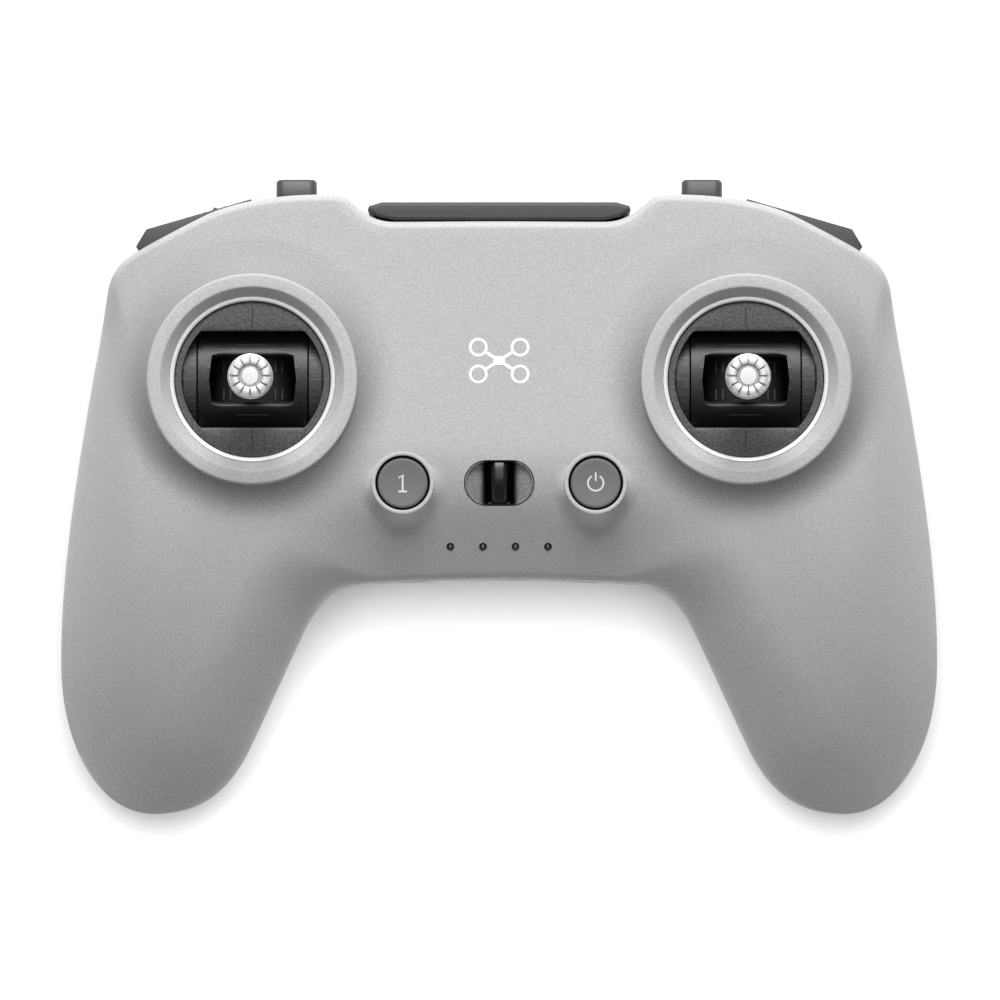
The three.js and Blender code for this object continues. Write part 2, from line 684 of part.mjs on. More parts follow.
// The cover plate, with a line engraved above and below its opening.
function coverPlate() {
  const rim = wellRadius - trimWidth - 2 * runningFit;
  const whole = prism(disc(rim), plateUnder, plateFace, 12);
  const opening = prism(openingShape(), plateUnder - 1, plateFace + 1, 5);
  const line = block(-0.15, 0.15, -2.1, 2.1, plateFace - 0.25, plateFace + 1);
  const lines = at(line, 0, openingHalf + 2).add(at(line, 0, -openingHalf - 2));
  return whole.subtract(opening).subtract(lines);
}

function trimRing() {
  const [inside, outside] = [wellRadius - trimWidth - runningFit, wellRadius - runningFit];
  const foot = plateUnder - 0.2;
  const profile = [
    [inside, foot],
    [outside, foot],
    [outside, plateFace + 0.7],
    [inside, plateFace + 0.35],
    [inside, foot],
  ];
  return turned(profile, ringSides);
}

// A curved sheet about the X axis: an arc of the given radius and thickness, from x0 to x1.
function archX(radius, thickness, halfAngle, x0, x1, segments) {
  const shape = new THREE.Shape();
  shape.absarc(0, 0, radius, Math.PI / 2 - halfAngle, Math.PI / 2 + halfAngle);
  shape.absarc(0, 0, radius - thickness, Math.PI / 2 + halfAngle, Math.PI / 2 - halfAngle, true);
  return aboutZ(aboutX(prism(shape, x0, x1, segments), 90), 90);
}

// A thin disc about the X axis with its lower part cut off level.
function endDisc(radius, x, floor) {
  const half = drumDiscThick / 2;
  const lower = block(x - 2 * half, x + 2 * half, -radius - 1, radius + 1, -radius - 1, floor);
  return at(axleX(radius, half, 10), x, 0).subtract(lower);
}

const cheekGap = 2.6; // from the drum's end to the frame's cheek
const cheekThick = 1.8;
const frameWall = 1.3;
const sideGap = 1.4; // between the drum and the frame's long walls
const capSink = 0.3; // the frame's side caps below the drum's surface
const cheekInside = drumHalf + cheekGap;
const cheekOutside = cheekInside + cheekThick;
const frameInside = drumRadius + sideGap;
const drumDisc = { radius: drumRadius - 0.6, floor: 2.4 };
// The frame's floor clears the lowest corner of the drum's end discs at full throw.
const discCorner = rad(stickThrow) + Math.asin(drumDisc.floor / drumDisc.radius);
const frameFloor = -drumDisc.radius * Math.sin(discCorner) - fit;
const frameHigh = plateUnder - 2.5;

// The tray that carries the drum, with a curved cap under the plate beyond each end of it. Its inner
// corner is relieved where the cell's end reaches under it.
function gimbalFrame(side) {
  const [long, wide] = [cheekOutside, frameInside + frameWall];
  const outside = block(-long, long, -wide, wide, frameFloor - frameWall, frameHigh);
  const hollow = block(-cheekInside, cheekInside, -frameInside, frameInside, frameFloor, frameHigh + 1);
  let frame = outside.subtract(hollow);
  for (const end of [-1, 1]) {
    const span = [end * (drumHalf + fit), end * (cheekInside - 0.2)].sort((a, b) => a - b);
    frame = frame.add(archX(drumRadius - capSink, 1.3, rad(60), ...span, 6));
    frame = frame.add(endDisc(drumRadius - 1.1, end * (cheekInside + 0.2), 0));
  }
  const cellRoom = axleX(cellRadius + fit, cellLength / 2 + fit, 18);
  frame = frame.subtract(at(cellRoom, -side * gimbalX, cellY - gimbalY, cellHeight - pivotHeight));
  return frame.subtract(axleX(trunnionRadius + runningFit, cheekOutside + 1, 10));
}

// The black drum behind the opening. It rocks about X on its trunnions and carries the stick's pin.
const pinBlock = { middle: 6, half: 0.6 };
function pitchDrum() {
  let drum = archX(drumRadius, drumWall, rad(80), -drumHalf, drumHalf, 7);
  const { x, y } = windowHalf;
  const opening = new THREE.Shape();
  opening.moveTo(windowBulge - x, -y);
  opening.lineTo(x - windowBulge, -y);
  opening.quadraticCurveTo(x + windowBulge, 0, x - windowBulge, y);
  opening.lineTo(windowBulge - x, y);
  opening.quadraticCurveTo(-x - windowBulge, 0, windowBulge - x, -y);
  drum = drum.subtract(prism(opening, 2, drumRadius + 2, 2));
  const bearing = block(-3, 3, -pinBlock.half, pinBlock.half, -drumDisc.floor, drumRadius - drumWall - 1.1);
  const trunnionHalf = (cheekGap + cheekThick) / 2;
  const trunnion = axleX(trunnionRadius, trunnionHalf, 8);
  for (const side of [-1, 1]) {
    drum = drum.add(endDisc(drumDisc.radius, side * (drumHalf - drumDiscThick / 2), -drumDisc.floor));
    drum = drum.add(at(trunnion, side * (drumHalf + trunnionHalf - drumDiscThick / 2), 0));
    drum = drum.add(at(bearing, 0, side * pinBlock.middle));
  }
  return drum.subtract(axleY(pinRadius + 0.2, pinBlock.middle + 2, 8));
}

// The stick's root. It rocks about Y on the pin inside the drum, and its neck comes out of the window.
const cradleHalf = pinBlock.middle - pinBlock.half - 1.2;
const neckTop = cradleRadius + 3.6;
function stickCradle() {
  const shape = new THREE.Shape().absarc(0, 0, cradleRadius, rad(-12), rad(192));
  const rocker = aboutX(prism(shape, -cradleHalf, cradleHalf, 7), 90);
  const profile = [
    [0, cradleRadius - 1.6],
    [3, cradleRadius - 1.6],
    [3, cradleRadius + 0.8],
    [2.35, neckTop],
    [0, neckTop],
  ];
  return rocker
    .add(turned(profile, 10))
    .subtract(post(shaftRadius + runningFit, cradleRadius - 2.4, neckTop + 1, 8))
    .subtract(axleY(pinRadius + 0.2, pinBlock.middle + 2, 8));
}

// The turned end of a stick: a flared grip whose crown is cut into teeth round a bright button.
const knobBase = neckTop + 5.5;
const shaftEnd = knobBase + 4.6;
const crownDepth = 1.5;
function stickKnob() {
  const top = faceHeight + stickReach - pivotHeight;
  const rim = top - crownDepth;
  const profile = [
    [0, knobBase],
    [2.3, knobBase],
    [2.55, knobBase + 1.6],
    [3.5, rim - 5.2],
    [knobRadius, rim - 2.6],
    [knobRadius, rim - 0.2],
    [knobRadius - 0.3, rim + 0.1],
    [0, rim + 0.1],
  ];
  const crown = toothed(knobTeeth, [[0, knobRadius - 0.9], [0.5, knobRadius - 0.3]]);
  crown.holes.push(new THREE.Path().absarc(0, 0, 2, 0, 2 * Math.PI, true));
  return turned(profile, 12)
    .add(prism(crown, rim - 0.1, top, 4))
    .add(post(1.6, rim - 0.1, top - 0.4, 8))
    .subtract(post(shaftRadius + runningFit, knobBase - 1, shaftEnd + fit, 8));
}

for (const [name, side] of bothSides) {
  const gimbal = new THREE.Group();
  gimbal.position.set(side * gimbalX, gimbalY, pivotHeight);
  transmitter.add(gimbal);
  add(gimbal, `${name}_gimbal_plate`, coverPlate(), darkGrey);
  add(gimbal, `${name}_gimbal_trim_ring`, trimRing(), brightMetal);
  add(gimbal, `${name}_gimbal_frame`, gimbalFrame(side), satinBlack);
  add(gimbal, `${name}_gimbal_drum`, pitchDrum(), satinBlack);
  add(gimbal, `${name}_stick_cradle`, stickCradle(), satinBlack);
  add(gimbal, `${name}_stick_pin`, axleY(pinRadius, pinBlock.middle + pinBlock.half, 8), steel);
  add(gimbal, `${name}_stick_shaft`, post(shaftRadius, cradleRadius - 2, shaftEnd, 8), steel);
  add(gimbal, `${name}_stick_knob`, stickKnob(), brightMetal);
  const sensor = block(0, 1, -6, 6, -5, 5).add(block(0, 1.8, -2, 2, -1.5, 1.5));
  const sensorX = side * (cheekOutside + fit);
  add(gimbal, `${name}_gimbal_sensor`, side < 0 ? mirrored(sensor) : sensor, boardGreen, [sensorX, 0, 0]);
}

// ---- Face buttons ----
// A cap with a flange that keeps it under the face, and a foot that rests over its dome switch.
const flangeThick = 0.8;
const buttonFoot = buttonTop - 6.9;
function faceButton() {
  const profile = [
    [0, buttonFoot],
    [1.6, buttonFoot],
    [1.6, buttonFoot + fit],
    [buttonWell + 0.5, buttonFoot + fit],
    [buttonWell + 0.5, buttonFoot + fit + flangeThick],
    [buttonRadius, buttonFoot + fit + flangeThick],
    [buttonRadius, buttonTop - 0.4],
    [buttonRadius - 0.4, buttonTop - 0.2],
    [0, buttonTop - 0.45],
  ];
  return turned(profile, lipSides);
}

const frontBoardTop = frontBoardHeight + frontBoardThick;
const domeTop = buttonFoot - buttonTravel - 0.1;
function domeSwitch() {
  const can = block(-3, 3, -3, 3, frontBoardTop + 0.1, domeTop - 0.6);
  return can.add(post(1.7, domeTop - 0.7, domeTop, 10));
}
for (const [name, side] of [["function", -1], ["power", 1]]) {
  const place = [side * buttonX, controlY, 0];
  add(transmitter, `${name}_button`, faceButton(), buttonGrey, place);
  add(transmitter, `${name}_switch`, domeSwitch(), steel, place);
}

// ---- Lanyard recess and bar ----
// A bowl whose floor curves up to both ends, trimmed to lie just under the face.
const bowlWall = 0.5;
function lanyardDish() {
  const reach = lanyardHalf - bowlWall;
  const rim = faceHeight - 1.4;
  const bowl = new THREE.Shape();
  bowl.moveTo(-reach, faceHeight + 3);
  for (let i = -3; i <= 3; i++) {
    bowl.lineTo((reach * i) / 3, mix(lanyardFloor, rim, (i / 3) ** 2));
  }
  bowl.lineTo(reach, faceHeight + 3);
  const hollow = aboutX(prism(bowl, -lanyardRadius, lanyardRadius, 4), 90);
  const inside = prism(stadium(reach, lanyardRadius - bowlWall), lanyardFloor - 3, faceHeight + 4, 4);
  const outline = stadium(lanyardHalf - runningFit, lanyardRadius - runningFit);
  const dish = prism(outline, lanyardFloor - 0.9, faceHeight + 4, 4).subtract(hollow.intersect(inside));
  return at(dish, 0, controlY).intersect(at(frontOuter, 0, 0, -0.25));
}
add(transmitter, "lanyard_dish", lanyardDish(), satinBlack);

// The arched bar across the bowl, that a cord is looped round.
function lanyardBar() {
  const half = lanyardRadius - bowlWall - 0.1 - runningFit;
  const [low, rise, slope] = [lanyardFloor + 4.2, 3.3, 0.5];
  const shape = new THREE.Shape();
  shape.moveTo(-half, low + slope);
  shape.quadraticCurveTo(0, low + rise, half, low - slope);
  shape.lineTo(half, low - slope + lanyardBarThick);
  shape.quadraticCurveTo(0, low + rise + 2 * lanyardBarThick, -half, low + slope + lanyardBarThick);
  shape.closePath();
  const bar = prism(shape, -lanyardBarWidth / 2, lanyardBarWidth / 2, 8);
  return aboutZ(aboutX(bar, 90), -90);
}
add(transmitter, "lanyard_bar", lanyardBar(), satinBlack, [0, controlY, 0]);

// ---- Battery lamps: one moulded light guide with four pipes ----
function lightGuide() {
  const pipeTop = faceZ(0, lampY) - 0.25;
  const root = boardTop + clearance;
  const half = 1.5 * lampPitch + 1.4;
  let guide = block(-half, half, lampY - 1.2, lampY + 1.2, root, root + 1.6);
  for (const place of [-1.5, -0.5, 0.5, 1.5]) {
    guide = guide.add(at(post(lampRadius, root + 1, pipeTop, 6), place * lampPitch, lampY));
  }
  return guide;
}
add(transmitter, "light_guide", lightGuide(), lampGlass);

// ---- Toggle switches ----
const toggleAxle = 0.8;
function toggleLever() {
  const cap = prism(roundedRectangle(toggleSize.x, toggleSize.z, 1.5), -toggleSize.y, -2.4, 2, 0.5);
  return aboutX(cap, 90)
    .add(block(-1.3, 1.3, 0, 3, -1.7, 1.7))
    .add(axleX(2, 1.3, 8))
    .add(axleX(toggleAxle, 2.6, 6));
}
function toggleBody() {
  return block(-5, 5, -6.6, 1.4, -4.4, 4.4)
    .subtract(block(-1.6, 1.6, -3, 2, -5, 5))
    .subtract(axleX(toggleAxle + runningFit, 2.9, 6));
}
for (const [name, side] of [["mode", -1], ["aux", 1]]) {
  const place = [side * toggleX, togglePivot.x, togglePivot.y];
  add(transmitter, `${name}_toggle_lever`, toggleLever(), darkGrey, place);
  add(transmitter, `${name}_toggle_body`, toggleBody(), satinBlack, place);
}

// ---- Shoulder panels with their controls ----
// A cut or a key in a panel's own frame stands along Z here and is turned to point out along +Y.
const outwards = (made, x, z) => at(aboutX(made, -90), x, 0, z);
const keyFoot = 7; // a key's foot below the panel's face
const keySwitch = keyFoot + keyTravel + 0.6; // its board, beyond the key's travel

function shoulderPanel(side) {
  let panel = shoulderPrism(0, shoulderLow, shoulderHigh);
  const half = shoulderLength / 2 - 1.2;
  panel = panel.subtract(block(-half, half, -keyRecess, 2, shoulderLow + 3, shoulderHigh - 3));
  const smallHole = prism(disc(smallKey.radius + runningFit), -9, 4, 7);
  panel = panel.subtract(outwards(smallHole, smallKey.x, shoulderMid));
  if (side < 0) return panel.subtract(dialRoom());
  const [width, height] = [bigKey.width + 2 * runningFit, bigKey.height + 2 * runningFit];
  const bigHole = prism(roundedRectangle(width, height, 1.5), -9, 4, 3);
  return panel.subtract(outwards(bigHole, bigKey.x, shoulderMid));
}

function smallShoulderKey() {
  const cap = prism(disc(smallKey.radius), 0.4 - keyFoot, -0.1, 6, 0.25);
  const flange = prism(disc(smallKey.radius + 0.6), -keyFoot, 0.9 - keyFoot, 5);
  return outwards(cap.add(flange), 0, 0);
}

function bigShoulderKey() {
  const cap = prism(roundedRectangle(bigKey.width, bigKey.height, 1.4), 1.6 - keyFoot, -0.1, 2, 0.3);
  const [x, y] = [bigKey.width / 2 - 0.5, bigKey.height / 2 + 1];
  return outwards(cap.add(block(-x, x, -y, y, 0.6 - keyFoot, 1.7 - keyFoot)), 0, 0);
}

const dialBore = 1.3;
function dialWheel() {
  const rim = toothed(dialTeeth, [[0, dialRadius], [0.5, dialRadius - 0.55]]);
  const bore = post(dialBore + runningFit, -dialWidth, dialWidth, 8);
  return aboutZ(prism(rim, -dialWidth / 2, dialWidth / 2), 90).subtract(bore);
}

// What stands in one shoulder only: the dial on the left, the large key on the right.
function leftShoulder(shoulder) {
  const hub = [-dialX, dialY, dialHeight];
  const under = -dialWidth / 2;
  add(shoulder, "dial_wheel", dialWheel(), darkGrey, hub);
  add(shoulder, "dial_shaft", post(dialBore, under - 1.2, -under + 0.5, 10), steel, hub);
  add(shoulder, "dial_encoder", block(-5, 5, -4.7, 1.1, under - 4.6, under - 1.4), satinBlack, hub);
}
function rightShoulder(shoulder) {
  add(shoulder, "shutter_key", bigShoulderKey(), buttonGrey, [bigKey.x, 0, shoulderMid]);
}

for (const [name, side] of bothSides) {
  const shoulder = new THREE.Group();
  shoulder.position.set(side * shoulderX, shoulderY, 0);
  shoulder.rotation.z = rad(-side * shoulderTilt);
  transmitter.add(shoulder);
  const panel = shoulderPanel(side);
  add(shoulder, `${name}_shoulder_panel`, side < 0 ? mirrored(panel) : panel, darkGrey);
  const keyName = side < 0 ? "pause_key" : "start_stop_key";
  add(shoulder, keyName, smallShoulderKey(), buttonGrey, [side * smallKey.x, 0, shoulderMid]);
  const boardEnds = side < 0 ? [-9.6, -4.2] : [-9, 9.6];
  const board = block(...boardEnds, -keySwitch - 1.2, -keySwitch, -6, 6);
  add(shoulder, `${name}_shoulder_board`, board, boardGreen, [0, 0, shoulderMid]);
  if (side < 0) leftShoulder(shoulder);
  else rightShoulder(shoulder);
}

// ---- Boards ----
// The main board lies between the gimbals and over the cell, clear of the screw bosses.
const boardHalf = gimbalX - cheekOutside - 5;
const boardSpan = [apronY + 6.4, topY - 16.3];
add(
  transmitter,
  "main_board",
  block(-boardHalf, boardHalf, ...boardSpan, boardHeight, boardTop),
  boardGreen,
);

// The buttons' board stands over it on a stacking connector.
function frontBoard() {
  const half = boardHalf - 2;
  const sheet = block(-half, half, controlY - 5.8, controlY + 5.6, frontBoardHeight, frontBoardTop);
  return sheet.add(block(-6, 6, controlY - 2, controlY + 2, boardTop + fit, frontBoardHeight + 0.1));
}
add(transmitter, "front_board", frontBoard(), boardGreen);

const shield = block(2, boardHalf - 4, 14, 34, boardTop + fit, boardTop + 2.6);
add(transmitter, "rf_shield", shield, steel);
add(transmitter, "buzzer", post(5, boardTop + fit, boardTop + 4, 16), satinBlack, [-12, 18, 0]);

// ---- Cell and cradle ----
function cellCradle() {
  const half = cellLength / 2;
  const outside = cellRadius + cradleGap + cradleThick;
  let trough = aboutX(archX(outside, cradleThick, rad(88), -half - fit - 1, half + fit + 1, 6), 180);
  for (const side of [-1, 1]) {
    const end = block(-0.6, 0.6, -7, 7, 0.65 - outside, 4);
    trough = trough.add(at(end, side * (half + fit + 0.6), 0));
  }
  return trough;
}
const cellPlace = [0, cellY, cellHeight];
add(transmitter, "battery_cell", axleX(cellRadius, cellLength / 2, 18), cellBlue, cellPlace);
add(transmitter, "battery_cradle", cellCradle(), satinBlack, cellPlace);

// ---- Charging port, set just inside the lower edge ----
function usbPort() {
  const [half, radius] = [usbSize.x / 2, usbSize.z / 2];
  const outside = prism(stadium(half, radius), 0, usbSize.y, 2);
  const inside = prism(stadium(half - usbWall, radius - usbWall), 0.8, usbSize.y + 1, 2);
  const tongue = block(-3.3, 3.3, -0.35, 0.35, 0.4, usbSize.y - 1);
  return aboutX(outside.subtract(inside).add(tongue), 90);
}
add(transmitter, "usb_port", usbPort(), steel, [0, apronY + 2 * fit + usbSize.y, usbHeight]);

// ---- Case screws, driven from the back ----
function screw() {
  const profile = [
    [0, screwSeat - 2],
    [screwHead, screwSeat - 2],
    [screwHead, screwSeat - runningFit],
    [screwShank, screwSeat - runningFit],
    [screwShank, screwTop - 1],
    [0, screwTop],
  ];
  return turned(profile, 8);
}
for (const [name, x, y] of screwPlaces()) add(transmitter, `screw_${name}`, screw(), steel, [x, y, 0]);

// The origin is on the table, under the middle of the whole outline.
transmitter.position.y = -(topY + toggleStand + tipY) / 2;

export default transmitter;
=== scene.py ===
"""A two-stick radio transmitter lying on its back, seen from above on a white table."""

import json
import math

import bmesh
import bpy
import numpy as np
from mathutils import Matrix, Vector


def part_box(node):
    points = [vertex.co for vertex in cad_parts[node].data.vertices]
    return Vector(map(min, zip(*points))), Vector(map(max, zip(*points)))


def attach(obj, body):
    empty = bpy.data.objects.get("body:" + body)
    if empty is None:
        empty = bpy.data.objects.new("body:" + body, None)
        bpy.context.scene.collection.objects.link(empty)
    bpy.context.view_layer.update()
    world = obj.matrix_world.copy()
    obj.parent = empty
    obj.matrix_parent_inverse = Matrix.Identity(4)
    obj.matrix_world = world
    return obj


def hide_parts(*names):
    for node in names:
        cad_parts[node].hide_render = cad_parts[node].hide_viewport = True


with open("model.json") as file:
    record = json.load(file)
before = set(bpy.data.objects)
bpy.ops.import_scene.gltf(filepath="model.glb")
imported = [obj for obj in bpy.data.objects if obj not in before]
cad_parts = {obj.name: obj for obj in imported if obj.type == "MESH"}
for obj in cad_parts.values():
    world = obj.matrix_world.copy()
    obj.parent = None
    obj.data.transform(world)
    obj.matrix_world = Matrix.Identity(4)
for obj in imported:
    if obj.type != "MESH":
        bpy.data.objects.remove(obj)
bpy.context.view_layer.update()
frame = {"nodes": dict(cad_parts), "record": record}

# ---------------------------------------------------------------------------------------------
# Front housing. The upper half of a two-part case, moulded in light grey plastic with an eroded
# grain, 2 mm thick, and screwed to the rear half from below. All sizes here are millimetres.
# ---------------------------------------------------------------------------------------------


def span(node):
    """A CAD node's lowest and highest corners in millimetres."""
    low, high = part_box(node)
    return np.array(low) * 1000, np.array(high) * 1000


def middle(node):
    """The middle of a CAD node's box in millimetres."""
    low, high = span(node)
    return (low + high) / 2


def new_mesh(name, points, faces):
    """A mesh in metres from an array of points in millimetres and faces of any length."""
    mesh = bpy.data.meshes.new(name)
    mesh.from_pydata((np.asarray(points, float) / 1000).tolist(), [], [list(map(int, f)) for f in faces])
    mesh.validate()
    return mesh


def grid(rows, columns, around=False):
    """Quads of a grid whose points run row by row. With around, the last column joins the first."""
    i = np.arange(rows - 1)[:, None]
    j = np.arange(columns if around else columns - 1)[None, :]
    k = (j + 1) % columns
    quads = np.stack([i * columns + j, i * columns + k, (i + 1) * columns + k, (i + 1) * columns + j], -1)
    return quads.reshape(-1, 4)


def joined(*parts):
    """Several (points, faces) pairs as one pair."""
    points, faces, start = [], [], 0
    for p, f in parts:
        points.append(np.asarray(p, float).reshape(-1, 3))
        faces += [tuple(int(v) + start for v in face) for face in f]
        start += len(points[-1])
    return np.concatenate(points), faces


MERGE = 2e-6  # metres


def finished(obj, crease=35):
    """Applies the object's modifiers, merges doubles, turns its faces outwards and shades it smooth
    up to crease degrees."""
    evaluated = obj.evaluated_get(bpy.context.evaluated_depsgraph_get())
    mesh = bpy.data.meshes.new_from_object(evaluated)
    work = bmesh.new()
    work.from_mesh(mesh)
    bmesh.ops.remove_doubles(work, verts=work.verts, dist=MERGE)
    bmesh.ops.dissolve_degenerate(work, edges=work.edges, dist=MERGE / 2)
    bmesh.ops.recalc_face_normals(work, faces=work.faces)
    work.to_mesh(mesh)
    work.free()
    mesh.shade_smooth()
    mesh.set_sharp_from_angle(angle=math.radians(crease))
    obj.modifiers.clear()
    obj.data = mesh


def cut_by(obj, tool):
    """Takes a closed solid away from the object."""
    modifier = obj.modifiers.new("cut", "BOOLEAN")
    modifier.operation = "DIFFERENCE"
    modifier.solver = "MANIFOLD"
    modifier.object = tool
    bpy.context.view_layer.update()


def bevelled(obj, width):
    """Rounds the object's edges with three segments."""
    modifier = obj.modifiers.new("bevel", "BEVEL")
    modifier.width = width / 1000
    modifier.segments = 3
    modifier.limit_method = "ANGLE"
    modifier.angle_limit = math.radians(30)
    modifier.harden_normals = False


def place(name, shape, body, material, replaces=(), bevel=0, crease=35, cuts=()):
    """A piece from its (points, faces): cut, bevelled, given its material, and set on its body."""
    obj = bpy.data.objects.new(name, new_mesh(name, *shape))
    bpy.context.scene.collection.objects.link(obj)
    finished(obj, crease)
    for tool in cuts:
        cut_by(obj, tool)
        finished(obj, crease)
    if bevel:
        bevelled(obj, bevel)
        finished(obj, crease + 15)
    obj.data.materials.clear()
    obj.data.materials.append(material)
    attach(obj, body)
    if replaces:
        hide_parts(*replaces)


def prism(outline, low, high):
    """A straight prism over a closed outline of (x, y) pairs, from one height to another."""
    outline = np.array(outline, float)
    count = len(outline)
    points = np.concatenate([np.c_[outline, np.full(count, low)], np.c_[outline, np.full(count, high)]])
    i = np.arange(count)
    k = (i + 1) % count
    sides = np.stack([i, k, k + count, i + count], -1)
    return points, [tuple(i[::-1]), tuple(i + count)] + [tuple(side) for side in sides]


def circle(radius, segments=64, centre=(0, 0)):
    """Points evenly round a circle."""
    angle = np.linspace(0, 2 * np.pi, segments, endpoint=False)
    return np.stack([centre[0] + radius * np.cos(angle), centre[1] + radius * np.sin(angle)], -1)


def rounded(width, height, radius, segments=8, centre=(0, 0)):
    """The outline of a rectangle with round corners: a quarter circle at each inset corner."""
    corner = np.radians(np.linspace(0, 90, segments + 1))
    points = []
    for turn, (sx, sy) in enumerate([(1, 1), (-1, 1), (-1, -1), (1, -1)]):
        angle = corner + turn * np.pi / 2
        x = sx * (width / 2 - radius) + radius * np.cos(angle)
        y = sy * (height / 2 - radius) + radius * np.sin(angle)
        points.append(np.stack([x, y], -1))
    return np.concatenate(points) + np.array(centre)


def moved(shape, offset):
    """A (points, faces) pair shifted by an offset."""
    points, faces = shape
    return points + np.asarray(offset, float), faces


def upright(shape):
    """A (points, faces) pair turned a quarter about X, so that its Z becomes -Y."""
    points, faces = shape
    return np.stack([points[:, 0], -points[:, 2], points[:, 1]], -1), faces


shell_low, shell_high = span("front_shell")
HALF, TOP, TIP = shell_high[0], shell_high[1], shell_low[1]
NOTCH, NOTCH_HALF, APRON = TOP - 5, 19.5, -15.4
FACE, PARTING, SEAM, WALL, FIT = 42.0, 22.0, 0.3, 2.0, 0.3
SIDES = (("left", -1), ("right", 1))

# The outline of the right half, in cubics of (end, first handle, second handle, ribs) that run from
# the middle of the notch, and from the middle of the apron, to the tip of the grip.
OUTER = [
    [(NOTCH_HALF, NOTCH - 0.1), (NOTCH_HALF / 3, NOTCH), (2 * NOTCH_HALF / 3, NOTCH - 0.1), 2],
    [(NOTCH_HALF + 8.1, NOTCH + 3.5), (NOTCH_HALF + 3.1, NOTCH - 0.1), (NOTCH_HALF + 5.1, NOTCH + 0.9), 2],
    [(NOTCH_HALF + 12, TOP), (NOTCH_HALF + 9.3, NOTCH + 4.6), (NOTCH_HALF + 10.1, TOP), 2],
    [(HALF - 27.6, TOP - 3.9), (HALF - 42, TOP + 0.1), (HALF - 34, TOP - 1), 3],
    [(HALF - 15.5, TOP - 10.1), (HALF - 23.5, TOP - 5.9), (HALF - 19.5, TOP - 8), 2],
    [(HALF - 9.1, TOP - 17.9), (HALF - 12.1, TOP - 11.9), (HALF - 9.9, TOP - 14.1), 3],
    [(HALF, TIP + 28.5), (HALF - 5.9, TOP - 35.8), (HALF, TIP + 51.5), 6],
    [(HALF - 17.5, TIP), (HALF, TIP + 12), (HALF - 7.3, TIP), 10],
]
INNER = [
    [(HALF - 57, APRON - 0.8), (8, APRON), (HALF - 65.5, APRON - 0.3), 5],
    [(HALF - 46.1, APRON - 8.9), (HALF - 52.7, APRON - 1.1), (HALF - 49.3, APRON - 2.8), 6],
    [(HALF - 35.1, TIP + 11.5), (HALF - 42.5, APRON - 16.6), (HALF - 38.5, TIP + 18.5), 13],
    [(HALF - 17.5, TIP), (HALF - 31.2, TIP + 4), (HALF - 26, TIP), 6],
]
RIB_STEPS = 7


def traced(start, stretches, steps):
    """Points along the cubics, with steps points for each of a stretch's own ribs."""
    points = [np.array([start], float)]
    for end, first, second, ribs in stretches:
        t = np.linspace(0, 1, ribs * steps + 1)[1:, None]
        p0, p1, p2, p3 = points[-1][-1], np.array(first), np.array(second), np.array(end)
        points.append((1 - t) ** 3 * p0 + 3 * t * (1 - t) ** 2 * p1 + 3 * t**2 * (1 - t) * p2 + t**3 * p3)
    return np.concatenate(points)


outer_edge = traced((0, NOTCH), OUTER, RIB_STEPS)
inner_edge = traced((0, APRON), INNER, RIB_STEPS)


def inset(edge, by, turn):
    """The edge moved inwards along its own normals, which are level with Y at its two ends."""
    along = np.empty_like(edge)
    along[1:-1] = edge[2:] - edge[:-2]
    along[0], along[-1] = edge[1] - edge[0], edge[-1] - edge[-2]
    along /= np.linalg.norm(along, axis=1, keepdims=True)
    inwards = np.stack([-along[:, 1] * turn, along[:, 0] * turn], -1)
    inwards[0] = (0, np.sign(inwards[0, 1]))
    inwards[-1] = (0, 1)
    return edge + inwards * by


def run_distance(x, y, run):
    """Distance from each point to the nearest place on a run of straight stretches."""
    best = np.full(x.shape, 1e9)
    for (ax, ay), (dx, dy) in zip(run[:-1], run[1:] - run[:-1]):
        t = np.clip(((x - ax) * dx + (y - ay) * dy) / (dx * dx + dy * dy), 0, 1)
        best = np.minimum(best, np.hypot(x - ax - t * dx, y - ay - t * dy))
    return best


def edge_distance(x, y):
    """Distance to the outline: the soft minimum of the two edges' distances, by their fourth powers."""
    a = run_distance(x, y, outer_edge) + 1e-6
    b = run_distance(x, y, inner_edge) + 1e-6
    return (a**-4 + b**-4) ** -0.25


def smooth(start, end, x):
    """0 before start, 1 after end, and a cubic ease between them."""
    t = np.clip((x - start) / (end - start), 0, 1)
    return t * t * (3 - 2 * t)


def mix(a, b, t):
    """A straight blend from a to b."""
    return a + (b - a) * t


def grip_share(x, y):
    """0 over the middle of the housing and along the shoulders, 1 on the grips."""
    return smooth(HALF - 60.5, HALF - 36.5, x) * smooth(TOP - 12, TOP - 28, y)


def parting(y):
    """Height of the parting line: level, then down by a square law towards the grips' tips."""
    return PARTING - 6 * np.clip((4 - y) / 62, 0, 1) ** 2


BEND_Y, BEND_RADIUS, APRON_SLOPE = 10, 28, math.radians(30)
BEND_RUN = BEND_RADIUS * math.sin(APRON_SLOPE)


def apron_fall(y):
    """The drop of the face below the buttons: an arc that turns through the slope, then straight."""
    along = np.maximum(BEND_Y - y, 0)
    arc_drop = BEND_RADIUS - np.sqrt(BEND_RADIUS**2 - np.minimum(along, BEND_RUN) ** 2)
    return arc_drop + np.maximum(along - BEND_RUN, 0) * math.tan(APRON_SLOPE)


def face_z(x, y):
    """Height of the face: level, less the apron's fall in the middle, a square law down the grips and
    another one out to the sides."""
    grip = 0.0042 * np.maximum(0, 12 - y) ** 2
    side = 0.012 * np.maximum(0, x - (HALF - 30)) ** 2
    return FACE - mix(apron_fall(y), grip, smooth(HALF - 62.5, HALF - 36.5, x)) - side


FRONT = {
    "up": 1,
    "level": face_z,
    "round": lambda x, y: mix(1.4, 5 + 10 * smooth(38, -20, y), grip_share(x, y)),
    "upright": lambda x, y: mix(0.88, 0.08, grip_share(x, y)),
}


